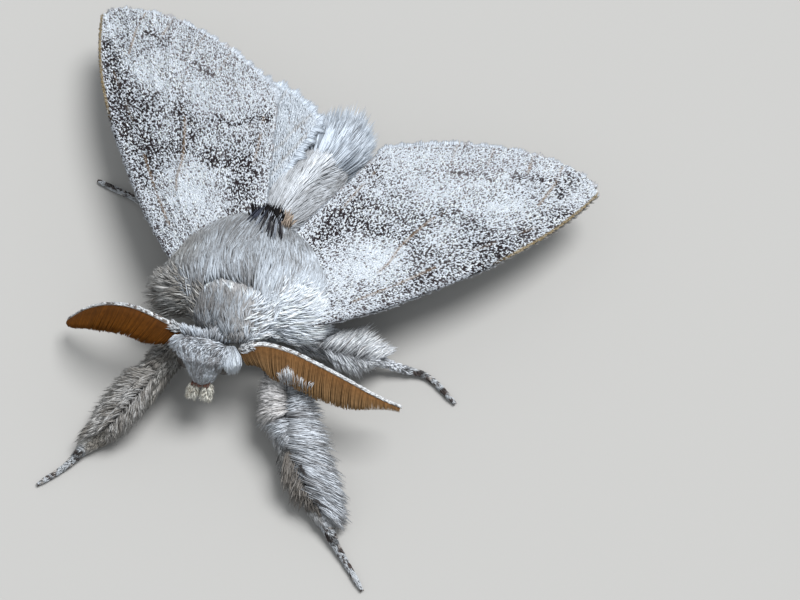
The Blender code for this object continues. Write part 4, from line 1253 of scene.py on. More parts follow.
parts.append(locks(root, mid, tip, np.tile((0, 0, 1.0), (n, 1)), np.full(n, 0.11), c * 0.6, c, thorax.unwrap(unit(root - THORAX_C))))
n = 78
u = np.repeat(np.linspace(-0.62, 1.92, 13), 6)
u = u + 0.018 * rng.normal(0, 1, n)
root = np.stack([u, 1.75 + 0.42 * np.repeat(rng.random(13) - 0.5, 6) + 0.25 * rng.random(n) + 0.45 * smooth(0.4 - u, 0.0, 0.8), np.zeros(n)], 1)
root[:, 2] = 7.80 - 0.10 * (root[:, 0] - 0.4) ** 2 - 0.22 * (root[:, 1] - 1.4)
lean = unit(np.stack([-0.30 * (u - 0.5), np.ones(n), 0.02 * u], 1) + rng.normal(0, 0.05, (n, 3)))
tip = root + lean * (0.85 + 0.75 * rng.random(n))[:, None]
tip[:, 2] += 0.02 - 0.12 * rng.random(n)
mid = (root + tip) / 2 + np.array((0, 0, 0.11))
c = np.where((u < 0.3)[:, None], np.array((0.030, 0.034, 0.048)), np.array((0.018, 0.017, 0.020))) * (1 + 1.4 * rng.random((n, 1)))
c[np.isin(np.arange(n) // 6, (3, 6, 10))] = np.array((0.30, 0.33, 0.38))
parts.append(locks(root, mid, tip, np.tile((0, 0, 1.0), (n, 1)), np.full(n, 0.046), c, c, thorax.unwrap(unit(root - THORAX_C))))
# tan patch beside it
n = 90
root = np.array((1.35, 3.25, 6.25)) + rng.normal(0, 0.20, (n, 3))
tip = root + np.array((0.05, 0.75, 0.15)) + rng.normal(0, 0.12, (n, 3))
c = np.tile(np.array((0.33, 0.27, 0.22)), (n, 1)) * (0.8 + 0.4 * rng.random((n, 1)))
parts.append(locks(root, (root + tip) / 2 + np.array((0, 0, 0.08)), tip, np.tile((0, 0, 1.0), (n, 1)), np.full(n, 0.11), c * 0.7, c,
                   thorax.unwrap(unit(root - THORAX_C))))
coat_piece("coat_black_tuft", parts, fur_black, "thorax_coat")

# ------------------------------------------------------------------ head coat
HR = np.stack([SIDE, -DOWN, FACE], 0)


def head_flow(p, n):
    r = p - CROWN
    t = (r @ DOWN) / HEAD_LEN
    x = r @ SIDE
    # crown hair sweeps back and out, the face's hair runs down to the mouth
    up = SIDE * 0.30 - DOWN * 0.95 + FACE * 0.10
    k = smooth(t, -0.10, -0.02)[:, None]
    fan = DOWN + SIDE * (-0.62 * (1 - smooth(t, 0.2, 0.6)) - 0.20 * x)[:, None]
    fan = fan + SIDE * (0.9 * x * smooth(np.abs(x), 1.2, 1.9) * (1 - smooth(t, 0.3, 0.5)))[:, None]
    return tangent(lerp(np.tile(up, (len(p), 1)), fan, k), n)


# darker towards the mouth, and painted shade on the side turned away from the face
def head_painted_shade(p, n):
    t = ((p - CROWN) @ DOWN) / HEAD_LEN
    return 1.05 - 0.16 * smooth(t, 0.45, 0.9) - 0.16 * smooth(-n @ FACE, -0.1, 0.5)


d = head.sample(5900, rng, lambda p, n: np.where(n[:, 2] > -0.7, 1.0, 0.4)
                * np.where((np.linalg.norm(p - EYE["left"], axis=1) < 0.80) | (np.linalg.norm(p - EYE["right"], axis=1) < 0.80), 0.0, 1.0)
                * np.where(in_collar(p, 0.3), 0.05, 1.0))
head_parts = [lay(head, d, rng, 1.55, 0.076, 0.36, head_flow, (0.58, 0.63, 0.69), (0.26, 0.265, 0.28), (0.085, 0.078, 0.085), (0.40, 0.14),
                  seed=70, shade=head_painted_shade, clump=0.13, jitter=0.08, lift=0.14, root_painted_shade=0.34, pull=0.16, cell=0.36, rings=2, size=0.30,
                  grain=lambda p: np.stack([2.2 * ((p - CROWN) @ SIDE), 0.55 * ((p - CROWN) @ DOWN), 0 * p[:, 0]], 1))]


def brush(c, aim, half, wide, n, white, grey, dark, mix, seed):
    """A rounded pear-shaped tuft, its hair running from one end to the other."""
    aim = unit(np.asarray(aim, float)[None])[0]
    e1 = unit(np.cross(aim, FACE)[None])[0]
    e2 = np.cross(aim, e1)
    az = rng.random(n) * 2 * math.pi
    rad = rng.random(n) ** 0.4
    o = e1 * np.cos(az)[:, None] + e2 * np.sin(az)[:, None]
    k = (wide * rad * (1 + 0.12 * rng.normal(0, 1, n) + 0.10 * flat_noise(az * 1.2, 0 * az, 0.35, seed + 3)))[:, None]
    root = c - aim * half * 0.90 + o * 0.35 * k + aim * (0.5 * half * rng.random(n))[:, None]
    mid = c + o * 1.12 * k + aim * (half * 0.1 * rng.normal(0, 1, n))[:, None]
    tip = c + aim * (half * (0.62 + 0.42 * rng.random(n) - 0.32 * rad * rad))[:, None] + o * 0.58 * k + rng.normal(0, 0.085, (n, 3))
    c3 = tones(rng, n, np.stack([az * 1.2, 0.3 * rad, 0 * az], 1), white, grey, dark, mix, size=0.30, seed=seed)
    return locks(root, mid, tip, o, np.full(n, 0.066), c3 * 0.45, np.minimum(c3 * 1.05, 0.86), head.unwrap(unit(root - CROWN - DOWN)), rings=3)


# ragged tips of the crown, that stand up behind the face
n = 520
u = (rng.random(n) * 2 - 1) * 1.5
root = CROWN + SIDE * u[:, None] + DOWN * (0.10 + 0.35 * rng.random(n))[:, None] + FACE * (0.10 + 0.45 * rng.random(n) - 0.22 * u * u)[:, None]
g = flat_noise(u, 0 * u, 0.42, 78)
lean = unit(-DOWN * 1.0 + SIDE * (0.34 * u + 0.22 * g)[:, None] + FACE * (0.18 + 0.20 * rng.random(n))[:, None] + rng.normal(0, 0.10, (n, 3)))
Lc = 0.62 + 0.30 * g + 0.22 * rng.random(n)
tip = root + lean * Lc[:, None]
c = tones(rng, n, root, (0.52, 0.575, 0.64), (0.32, 0.335, 0.36), (0.10, 0.09, 0.10), (0.34, 0.12), seed=79)
head_parts.append(locks(root, (root + tip) / 2 + FACE * 0.10, tip, np.tile(FACE, (n, 1)), np.full(n, 0.10), c * 0.45, c, head.unwrap(unit(root - CROWN - DOWN))))

lobe_l = CROWN + DOWN * (HEAD_LEN * 0.40) + SIDE * 1.74 + FACE * 0.34
lobe_r = CROWN + DOWN * (HEAD_LEN * 0.24) - SIDE * 1.80 + FACE * 0.30
head_parts.append(brush(lobe_l, DOWN + SIDE * 0.25 + FACE * 0.1, 0.98, 0.64, 1000, (0.64, 0.70, 0.77), (0.42, 0.44, 0.47), (0.14, 0.13, 0.135), (0.28, 0.06), 81))
head_parts.append(brush(lobe_r, DOWN * 0.7 - SIDE * 0.7, 0.62, 0.46, 460, (0.50, 0.55, 0.61), (0.34, 0.35, 0.37), (0.14, 0.13, 0.13), (0.28, 0.06), 82))
coat_piece("coat_head", head_parts, fur_head, "head_coat")

# rust-brown line over the mouth, and cream palps
parts = []
n = 70
root = MOUTH - DOWN * 0.30 + FACE * 0.32 + SIDE * (rng.random(n) * 1.1 - 0.55)[:, None] + rng.normal(0, 0.05, (n, 3))
tip = root + DOWN * 0.28 + FACE * 0.06 + rng.normal(0, 0.04, (n, 3))
c = np.tile(np.array((0.16, 0.065, 0.04)), (n, 1)) * (0.6 + 0.8 * rng.random((n, 1)))
parts.append(locks(root, (root + tip) / 2 + FACE * 0.04, tip, np.tile(FACE, (n, 1)), np.full(n, 0.09), c * 0.7, c, np.tile((0.5, 0.5), (n, 1)), rings=2))
for s in ("left", "right"):
    f = palp_core(s)
    tb = Tube(f, lambda t: np.tile(f(np.array([0.5]), np.array([0.0]))[0], (len(t), 1)), 1.0)
    n = 330
    t = 0.05 + 0.9 * rng.random(n)
    a = rng.random(n) * 2 * math.pi
    p0 = f(t, a)
    mid0 = (f(t, a) + f(t, a + math.pi)) / 2
    out = unit(p0 - mid0)
    ax = unit(f(np.array([0.9]), np.array([0.0])) - f(np.array([0.1]), np.array([0.0])))[0]
    aim = unit(ax * 0.9 + out * 0.42 + rng.normal(0, 0.12, (n, 3)))
    Lp = 0.42 + 0.14 * rng.random(n)
    tip = p0 + aim * Lp[:, None]
    c = tones(rng, n, p0, (0.70, 0.69, 0.62), (0.46, 0.43, 0.36), (0.13, 0.085, 0.055), (0.30, 0.12), size=0.22)
    parts.append(locks(p0 - out * 0.08, p0 + aim * (Lp * 0.5)[:, None] + out * 0.03, tip, out, np.full(n, 0.095), c * 0.5, c,
                       np.stack([a / 6.2832 * 0.48 + (0.5 if s == "left" else 0.01), t * 0.4 + 0.02], 1), rings=2))
coat_piece("coat_palps", parts, fur_head, "palp")

# ------------------------------------------------------------------ abdomen
abd = Tube(abdomen_env, lambda t: spline(ABDOMEN_LINE, t), 9.3)


def abd_flow(p, n):
    f = np.tile((0.13, 1.0, -0.06), (len(p), 1))
    # hair parts along the moth's left of the ridge and sweeps down on both sides
    x = p[:, 0] - np.interp(p[:, 1], (3.2, 5.6, 8.8, 12.3), (0.25, 0.35, 1.0, 2.2))
    f[:, 0] += 0.34 * np.clip(x / 1.2, -1, 1) + 0.75 * smooth(x, 0.15, 0.9) * smooth(p[:, 1], 4.5, 6.5)
    f[:, 2] -= 0.25 * smooth(np.abs(x), 0.8, 2.0)
    return tangent(f, n)


# painted light and shade: a painted highlight along the top ridge, painted shadow in narrow bands beside it, darker
# near the base, and painted shade on the underside
def abd_painted_light(p, n):
    x = p[:, 0] - np.interp(p[:, 1], (3.2, 5.6, 8.8, 12.3), (0.25, 0.35, 1.0, 2.2))
    k = 0.80 + 0.30 * bell(x, 0.05, 0.34) * smooth(n[:, 2], 0.2, 0.7) - 0.16 * bell(x, 0.55, 0.22) * smooth(n[:, 2], 0.2, 0.7) - 0.26 * bell(x, -0.75, 0.20) * smooth(p[:, 1], 5.5, 7.0) * smooth(n[:, 2], 0.3, 0.8)
    k = k * (1 - 0.20 * bell(p[:, 1], 4.4, 1.2))
    return k * (1 - 0.25 * smooth(-n[:, 2], -0.2, 0.5))


def abd_warm(p):
    return 0.25 + 0 * p[:, 0], (1.0, 0.97, 0.935)


d = abd.sample(5400, rng, lambda d, p, n: np.where(n[:, 2] > -0.3, 1.0, 0.5) * np.where(in_thorax(p, 0.5), 0.05, 1.0), t0=0.03, t1=0.985)
La = 1.75 + (0.5 + 1.1 * rng.random(len(d))) * smooth(d[:, 0], 0.72, 0.95)
coat_piece("coat_abdomen", [lay(abd, d, rng, La, 0.088, 0.40, abd_flow, (0.64, 0.685, 0.74), (0.47, 0.49, 0.52), (0.24, 0.23, 0.235), (0.34, 0.03),
                                seed=100, shade=abd_painted_light, warm=abd_warm, clump=0.12, jitter=0.07, lift=0.12, root_painted_shade=0.56)],
           fur_abd, "abdomen_coat")

# tail: loose locks that fan out past the abdomen's end
n = 2500
t = 0.72 + 0.27 * rng.random(n)
a = rng.random(n) * 2 * math.pi
p0, dd, sd, upv = axis_frame(ABDOMEN_LINE, t)
rad = sd * np.cos(a)[:, None] + upv * np.sin(a)[:, None]
r0 = 1.18 * (1 - 0.5 * smooth(t, 0.85, 1.0))
r0 = np.where(np.arange(n) < 420, r0 * 0.35 * rng.random(n), r0)
root = p0 + rad * r0[:, None]
spread = 0.10 + 0.54 * rng.random(n) ** 0.8
spread = np.where(np.arange(n) < 420, 0.16 * rng.random(n), spread)
lock = noise(np.stack([np.cos(a) * 2, np.sin(a) * 2, spread * 4], 1), 0.55, 7)
aim = unit(np.array((0.02, 1.0, 0.03)) + rad * spread[:, None] + rng.normal(0, 0.035, (n, 3)))
Lt = (3.35 + 0.55 * lock + 0.35 * rng.random(n)) * (1.0 - 0.28 * spread / 0.6) - 2.2 * (t - 0.74)
tip = root + aim * Lt[:, None]
ci = np.floor(tip / 0.5).astype(np.int64)
at_ = (ci + 0.5 + 0.3 * np.stack([hashed(ci, 8), hashed(ci, 9), hashed(ci, 10)], 1)) * 0.5
to = at_ - tip
tip = tip + (to - aim * (to * aim).sum(1, keepdims=True)) * 0.42
tip[:, 2] = np.clip(tip[:, 2], 0.95, 4.1)
mid = root + unit(np.array((0.02, 1.0, 0.0)) + rad * (spread * 1.35)[:, None]) * (Lt * 0.5)[:, None]
mid[:, 2] = np.clip(mid[:, 2], 0.9, 4.3)
c = tones(rng, n, tip, (0.52, 0.58, 0.65), (0.26, 0.30, 0.35), (0.11, 0.12, 0.14), (0.36, 0.15), size=0.45, seed=5)
coat_piece("coat_tail", [locks(root, mid, tip, rad, np.full(n, 0.095), c * 0.74, c * 1.0,
                               np.stack([0.01 + 0.98 * (a / 6.2832), 0.05 + 3.4 * (t - 0.74)], 1))], fur_tail, "tail_tuft")

# ------------------------------------------------------------------ legs
BAND = {"foreleg_left": 0.68, "foreleg_right": 0.70, "midleg_left": 0.66, "midleg_right": 0.60, "hindleg_left": 0.62, "hindleg_right": 0.62}


def leg_coat(name, n, white, grey, dark, mix):
    rows = LEGS[name]
    env, core = leg_surfaces(rows)
    band = BAND[name]
    d = core.sample(n, rng, lambda d, p, nn: np.where(in_thorax(p, 0.7), 0.0, 1.0) * (1 + 1.3 * smooth(env_w(rows, d[:, 0]), 0.5, 1.6))
                    * (1 + 1.1 * smooth(d[:, 0], band - 0.02, band + 0.05)), t0=0.04, t1=0.992)
    t, a = d[:, 0], d[:, 1]
    n = len(d)
    p, nn, fr = core.frame(d)
    row, ax, side, up = axis_frame(rows, t, -1.0 if rows[-1][0] > 0 else 1.0)
    w = np.where(np.cos(a) > 0, row[:, 3], row[:, 4])
    reach = np.sqrt((w * np.cos(a)) ** 2 + (row[:, 5] * np.sin(a)) ** 2)
    tars = smooth(t, band, band + 0.06)
    fw = smooth(env_w(rows, t), 0.35, 1.2)
    clump = noise(np.stack([t * core.len, np.cos(a), np.sin(a)], 1), 0.8, 13)
    # hair gathers in pointed tufts
    ci = np.stack([np.floor(t * core.len / 0.42 + 0.5 * noise(p, 1.0, 33)), np.floor(a / 0.50), np.zeros(n)], -1).astype(np.int64)
    ct_ = (ci[:, 0] + 0.5 + 0.35 * hashed(ci, 34)) * 0.42 / core.len
    ca_ = (ci[:, 1] + 0.5 + 0.35 * hashed(ci, 35)) * 0.50
    stand = hashed(ci, 36)
    L = np.clip(reach * (1.16 + 0.20 * stand + 0.12 * clump + 0.14 * rng.normal(0, 1, n).clip(-1.5, 1.5)) + 0.35, 0.3, 2.9)
    if any(r[0] == name for r in PLUMES):
        L = L * (1 - 0.30 * smooth(np.sin(a), -0.5, 0.4))
    L = lerp(L, 0.34 + 0.12 * rng.random(n), tars)
    # the tip stands over a place further along the leg
    fwd = 0.34 + 0.36 * rng.random(n)
    fwd = lerp(fwd, 0.75 + 0 * fwd, tars)
    dt = L * fwd / core.len
    t2 = np.clip(t + dt, 0, 0.997)
    a2 = a + rng.normal(0, 0.16, n) + 0.30 * clump * fw
    shell = 0.66 + 0.34 * rng.random(n) ** 0.6
    shell = np.where(rng.random(n) < 0.35, shell * 0.62, shell) * (1.0 + 0.12 * stand)
    if any(r[0] == name for r in PLUMES):
        shell = shell * (1 - 0.24 * smooth(np.sin(a), -0.5, 0.4))
    t2 = np.clip(t2 + (ct_ - t) * 0.60 * (1 - tars), 0, 0.997)
    a2 = a2 + (ca_ - a) * 0.60 * (1 - tars)
    q = env_scaled(env, t2, a2, lerp(shell, 0.66 + 0.1 * rng.random(n), tars))
    far = np.linalg.norm(q - p, axis=1)
    q = p + (q - p) * np.minimum(1.0, (L * 1.12 + 0.02) / np.maximum(far, 1e-6))[:, None]
    q[:, 2] = np.maximum(q[:, 2], 0.04)
    out = unit(nn)
    bow = lerp(0.42 * L, 0.05 + 0 * L, tars)
    mid = p + (q - p) * 0.42 + out * (bow * 0.35)[:, None]
    mid[:, 2] = np.maximum(mid[:, 2], 0.05)
    c = tones(rng, n, p + out * 0.3, white, grey, dark, mix, size=0.55, seed=17)
    # banded tarsus: white scales with dark brown rings
    ring = np.sin((t - band) / (1 - band) * math.pi * 2 * 4.5 + 1.2 * noise(p, 0.4, 19))
    cut = 0.06 if name.endswith("right") else 0.12
    spots = smooth(0.30 * ring + 1.5 * noise(p, 0.13, 23) + 0.35 * noise(p, 0.3, 24), cut, cut + 0.30)
    spots = spots * smooth(t, band + 0.01, band + 0.05)
    ct = lerp(np.array((0.44, 0.465, 0.49)) * (1 - 0.25 * rng.random((n, 1))), np.array((0.045, 0.032, 0.028)), spots[:, None])
    tan = smooth(noise(p, 0.25, 27), 0.25, 0.5)[:, None] * 0.5
    ct = lerp(ct, ct * np.array((0.80, 0.62, 0.46)), tan)
    c = lerp(c, ct, tars[:, None])
    # a few dark flecks along the shin
    fleck = (noise(p, 0.62, 29) > 0.52) & (up_dot(nn, up) > 0.2) & (t > 0.35)
    c = np.where(fleck[:, None], c * 0.35, c)
    share = w / np.maximum(np.maximum(row[:, 3], row[:, 4]), 1e-6)
    inner = (1 - tars) * (1 - smooth(share, 0.5, 0.98))
    c = c * (1 - 0.30 * inner)[:, None] * (1 - inner[:, None] * np.array((0.0, 0.03, 0.07)))
    # painted shade: the underside darker than the upper surface
    c = c * (1.0 - 0.25 * smooth(-nn[:, 2], -0.2, 0.7))[:, None]
    # painted shade over the base of the right foreleg, and a browner tint over all but its tarsus
    if name == "foreleg_right":
        c = c * (1 - 0.42 * smooth(0.34 - t, 0.0, 0.22))[:, None] * lerp(np.array((1.0, 1.0, 1.0)), np.array((1.0, 0.95, 0.87)), 1 - tars[:, None])
    width = lerp(np.full(n, 0.125), np.full(n, 0.085), tars)
    return locks(p - out * 0.05, mid, q, out, width, c * lerp(np.full(n, 0.45), np.full(n, 0.85), tars)[:, None], c * 1.05,
                 core.unwrap(d), rings=2)


def env_w(rows, t):
    r = spline(rows, t)
    return np.maximum(r[:, 3], r[:, 4])


def env_scaled(env, t, a, k):
    full = env(t, a, 1.0)
    none = env(t, a, 0.0)
    return none + (full - none) * k[:, None]


def up_dot(n, up):
    return (n * up).sum(1)


# sheets of long hair that stand out of the legs: leg, line of roots, line of
# tips, count, drop, width, bulge, stagger, tones
PLUMES = (
    ("foreleg_left", ((4.99, -5.78, 3.70), (5.19, -6.26, 3.70), (5.34, -6.62, 3.65), (5.57, -7.06, 3.60), (5.80, -7.37, 3.50)),
     ((2.89, -5.38, 2.90), (3.10, -6.39, 2.70), (3.55, -7.24, 2.50), (3.77, -8.27, 2.40), (4.64, -8.51, 2.20)),
     860, 0.70, 0.062, 0.45, 0.50, ((0.70, 0.69, 0.69), (0.48, 0.465, 0.455), (0.18, 0.16, 0.15), (0.34, 0.05))),
    ("foreleg_left", ((5.91, -7.65, 3.50), (6.13, -8.06, 3.40), (6.37, -8.51, 3.40), (6.62, -8.92, 3.30)),
     ((4.30, -8.30, 2.30), (5.00, -8.75, 2.20), (5.81, -9.22, 2.10), (6.43, -9.47, 2.10)),
     520, 0.70, 0.064, 0.25, 0.45, ((0.60, 0.64, 0.69), (0.34, 0.35, 0.37), (0.075, 0.068, 0.07), (0.34, 0.13))),
    ("foreleg_left", ((5.15, -5.57, 3.60), (5.55, -6.41, 3.60), (5.85, -7.13, 3.50), (6.26, -8.12, 3.40), (6.59, -8.82, 3.30)),
     ((6.49, -4.37, 3.10), (7.26, -5.00, 2.90), (7.93, -5.93, 2.60), (8.79, -7.17, 2.40), (9.52, -8.11, 2.20)),
     1100, 0.80, 0.064, 0.22, 0.55, ((0.60, 0.64, 0.69), (0.34, 0.35, 0.37), (0.075, 0.068, 0.07), (0.34, 0.13))),
    ("foreleg_left", ((6.68, -8.92, 3.10), (7.23, -9.42, 3.00), (7.85, -10.07, 2.80), (8.48, -10.66, 2.50), (9.23, -11.29, 2.10), (9.89, -11.83, 1.70)),
     ((9.70, -8.38, 2.10), (10.45, -9.14, 1.90), (11.16, -10.07, 1.70), (11.61, -10.96, 1.40), (11.79, -11.85, 1.00), (11.72, -12.44, 0.80)),
     1900, 0.80, 0.062, 0.22, 0.58, ((0.60, 0.64, 0.69), (0.34, 0.35, 0.37), (0.075, 0.068, 0.07), (0.34, 0.13))),
    # a low sheet of brownish hair under the left foreleg, darkened further as painted shade
    ("foreleg_left", ((6.68, -9.31, 3.00), (7.29, -9.96, 2.80), (8.01, -10.63, 2.50), (8.73, -11.30, 2.20), (9.44, -11.73, 1.80)),
     ((6.71, -11.21, 1.60), (7.46, -11.81, 1.40), (8.07, -12.31, 1.10), (9.00, -12.24, 1.00), (10.22, -12.37, 0.90)),
     420, 0.60, 0.066, 0.10, 0.50, ((0.26, 0.24, 0.22), (0.17, 0.15, 0.13), (0.06, 0.045, 0.035), (0.45, 0.10))),
    ("foreleg_left", ((5.02, -6.19, 3.90), (5.40, -6.09, 4.00), (6.18, -6.03, 3.80), (6.88, -6.01, 3.60)),
     ((4.46, -5.75, 5.10), (5.08, -5.05, 5.40), (6.10, -5.30, 4.90), (7.01, -5.11, 4.40)),
     64, 0.20, 0.030, 0.75, 0.29, ((0.72, 0.76, 0.81), (0.44, 0.455, 0.48), (0.10, 0.09, 0.09), (0.28, 0.12))),
    ("foreleg_right", ((-3.00, -7.72, 3.60), (-3.15, -8.33, 3.60), (-3.70, -9.10, 3.40), (-4.06, -9.89, 3.20), (-4.45, -10.69, 2.80), (-4.73, -11.36, 2.40), (-4.90, -11.94, 1.90)),
     ((-5.35, -7.73, 2.60), (-5.57, -8.71, 2.50), (-5.73, -9.80, 2.20), (-5.96, -10.96, 2.00), (-6.14, -11.83, 1.70), (-6.45, -12.84, 1.20), (-6.70, -13.55, 0.90)),
     1500, 0.70, 0.064, 0.20, 0.55, ((0.47, 0.465, 0.455), (0.24, 0.225, 0.205), (0.055, 0.045, 0.040), (0.40, 0.16))),
    ("foreleg_right", ((-2.85, -8.41, 3.60), (-3.04, -9.08, 3.50), (-3.36, -9.89, 3.20), (-3.83, -10.68, 2.90), (-4.21, -11.34, 2.40), (-4.56, -11.90, 1.90)),
     ((-2.57, -9.70, 2.40), (-2.75, -10.60, 2.20), (-3.21, -11.48, 1.70), (-3.65, -11.99, 1.30), (-3.92, -12.33, 1.10), (-4.53, -12.66, 1.00)),
     1100, 0.60, 0.064, 0.20, 0.52, ((0.47, 0.465, 0.455), (0.24, 0.225, 0.205), (0.055, 0.045, 0.040), (0.40, 0.16))),
    ("foreleg_right", ((-2.80, -7.90, 3.75), (-3.05, -8.75, 3.70), (-3.48, -9.60, 3.45), (-3.92, -10.45, 3.05), (-4.30, -11.10, 2.60), (-4.58, -11.60, 2.20)),
     ((-3.95, -9.10, 3.35), (-4.15, -9.95, 3.10), (-4.45, -10.80, 2.75), (-4.80, -11.60, 2.30), (-5.10, -12.20, 1.80), (-5.30, -12.70, 1.45)),
     520, 0.25, 0.060, 0.30, 0.40, ((0.54, 0.54, 0.535), (0.30, 0.285, 0.265), (0.060, 0.046, 0.040), (0.34, 0.24))),
    ("foreleg_left", ((6.28, -8.35, 3.42), (6.60, -8.85, 3.34), (7.05, -9.30, 3.10)),
     ((8.75, -7.25, 2.45), (9.45, -8.10, 2.25), (10.05, -8.85, 2.05)),
     420, 0.50, 0.060, 0.26, 0.55, ((0.60, 0.64, 0.69), (0.36, 0.37, 0.39), (0.11, 0.10, 0.10), (0.32, 0.08))),
    ("foreleg_left", ((7.60, -10.00, 2.88), (8.00, -10.36, 2.76)),
     ((8.05, -10.15, 2.80), (8.55, -10.58, 2.58)),
     40, 0.10, 0.060, 0.06, 0.45, ((0.060, 0.055, 0.055), (0.030, 0.026, 0.026), (0.012, 0.010, 0.010), (0.40, 0.35))),
    ("foreleg_left", ((9.20, -11.55, 2.18), (9.50, -11.67, 2.05)),
     ((9.70, -11.66, 2.06), (9.98, -11.72, 1.90)),
     44, 0.10, 0.060, 0.06, 0.45, ((0.060, 0.055, 0.055), (0.030, 0.026, 0.026), (0.012, 0.010, 0.010), (0.40, 0.35))),
    ("foreleg_right", ((-3.47, -8.98, 3.58), (-3.62, -9.57, 3.46)),
     ((-3.63, -9.38, 3.50), (-3.87, -9.96, 3.28)),
     40, 0.10, 0.060, 0.06, 0.45, ((0.060, 0.055, 0.055), (0.030, 0.026, 0.026), (0.012, 0.010, 0.010), (0.40, 0.35))),
    ("foreleg_right", ((-3.99, -10.43, 3.10), (-4.22, -10.88, 2.90)),
     ((-4.14, -10.87, 2.92), (-4.40, -11.29, 2.66)),
     30, 0.10, 0.060, 0.06, 0.45, ((0.060, 0.055, 0.055), (0.030, 0.026, 0.026), (0.012, 0.010, 0.010), (0.40, 0.35))),
    ("midleg_left", ((6.04, -2.43, 3.40), (6.70, -2.31, 3.40), (7.43, -2.19, 3.30), (8.28, -2.02, 3.00), (9.10, -1.73, 2.60), (9.55, -1.49, 2.30)),
     ((6.89, -0.49, 3.00), (7.62, 0.23, 2.80), (8.53, 0.82, 2.50), (9.54, 0.36, 2.20), (10.22, 0.21, 1.90), (10.80, 0.14, 1.70)),
     900, 0.70, 0.058, 0.18, 0.50, ((0.80, 0.84, 0.89), (0.50, 0.515, 0.54), (0.12, 0.105, 0.105), (0.25, 0.10))),
    ("midleg_left", ((6.40, -2.55, 3.40), (7.13, -2.43, 3.20), (7.84, -2.28, 3.10), (8.65, -1.99, 2.70), (9.37, -1.65, 2.30)),
     ((7.62, -3.17, 2.20), (8.63, -3.15, 1.90), (9.18, -2.77, 1.80), (9.44, -2.24, 1.80), (10.11, -1.34, 1.80)),
     650, 0.60, 0.058, 0.18, 0.50, ((0.72, 0.76, 0.81), (0.44, 0.455, 0.48), (0.10, 0.09, 0.09), (0.28, 0.12))),
)


def plume(leg, roots, tips, n, drop, width, bulge, stagger, look, seed):
    roots, tips = np.array(roots), np.array(tips)
    rows = LEGS[leg]
    _, core = leg_surfaces(rows)
    k = np.linspace(0, 1, len(tips))
    kr = np.linspace(0, 1, len(roots))
    u = rng.random(n)
    edge = np.linalg.norm(np.diff(tips, axis=0), axis=1).sum()
    tufts = max(edge / 0.42, 3.0)
    cell = np.floor(u * tufts).astype(np.int64)
    ci = np.stack([cell, 0 * cell, 0 * cell], -1)
    ut = u + 0.42 * ((cell + 0.5 + 0.35 * hashed(ci, seed)) / tufts - u) + 0.10 / edge * rng.normal(0, 1, n) + 0.30 / edge * flat_noise(u * edge, 0 * u, 0.8, seed + 4)
    ut = np.clip(ut, 0, 1)
    R = np.stack([np.interp(np.clip(u + 0.25 / edge * rng.normal(0, 1, n), 0, 1), kr, roots[:, i]) for i in range(3)], 1)
    T = np.stack([np.interp(ut, k, tips[:, i]) for i in range(3)], 1)
    low = drop * rng.random(n) ** 1.2
    s0 = stagger * rng.random(n) - (0.16 if drop > 0.3 else 0.0) * rng.random(n)
    s1 = np.clip(s0 + (1 - stagger) * (0.86 + 0.22 * rng.random(n)) + 0.07 * hashed(ci, seed + 1), 0.25, 1.08)

    def at(s):
        q = R + (T - R) * s[:, None]
        q[:, 2] += bulge * 4 * s * (1 - s) - low * (0.35 + 0.65 * s)
        q[:, 2] = np.maximum(q[:, 2], 0.05)
        return q

    side = unit(np.cross(T - R, np.array((0, 0, 1.0))))
    a, m, b = at(s0), at((s0 + s1) / 2), at(s1)
    a = a - np.array((0, 0, 0.10))
    m = 2 * m - (a + b) / 2
    m = m + side * (0.07 * rng.normal(0, 1, n) + 0.12 * flat_noise(u * edge, 2 * s0, 0.5, seed + 5))[:, None]
    b = b + side * (0.06 * rng.normal(0, 1, n))[:, None]
    for q in (a, m, b):
        q[:, 2] = np.maximum(q[:, 2], 0.045)
    white, grey, dark, mix = look
    c = tones(rng, n, np.stack([u * edge, 0.8 * s0, 0 * u], 1), white, grey, dark, mix, size=0.26, seed=seed + 2)
    # painted shade: the lower a lock hangs, the darker
    c = c * (1 - 0.35 * low / max(drop, 0.01))[:, None]
    # place of each root on the leg's own shape
    ts = np.linspace(0.02, 0.98, 160)
    row, ax, sd, up = axis_frame(rows, ts, -1.0 if rows[-1][0] > 0 else 1.0)
    j = np.argmin(np.linalg.norm(a[:, None, :] - row[None, :, :3], axis=2), axis=1)
    off = a - row[j, :3]
    d = np.stack([ts[j], np.arctan2((off * up[j]).sum(1), (off * sd[j]).sum(1)) % (2 * math.pi)], 1)
    up3 = unit(np.array((0, 0, 1.0)) + 0.5 * unit(T - R))
    return locks(a, m, b, up3, np.full(n, width) * (1 + 0.2 * rng.normal(0, 1, n).clip(-1.5, 1.5)), c * 0.66, np.minimum(c * 1.06, 0.86),
                 core.unwrap(d), rings=2)


LEG_LOOK = dict(white=(0.56, 0.585, 0.615), grey=(0.33, 0.33, 0.33), dark=(0.065, 0.056, 0.052))
for nm, cnt, mix in (("foreleg_left", 6600, (0.40, 0.07)), ("foreleg_right", 6200, (0.44, 0.13)), ("midleg_left", 3600, (0.26, 0.05)),
                     ("midleg_right", 3000, (0.38, 0.08)), ("hindleg_left", 2700, (0.38, 0.08)), ("hindleg_right", 2700, (0.38, 0.08))):
    more = [plume(*row, 500 + 10 * i) for i, row in enumerate(PLUMES) if row[0] == nm]
    bright = np.array((1.16, 1.17, 1.19)) if nm == "midleg_left" else np.ones(3)
    coat_piece("coat_" + nm, [leg_coat(nm, cnt, *(np.array(LEG_LOOK[k]) * bright for k in ("white", "grey", "dark")), mix)] + more, fur_leg, "leg_coat")

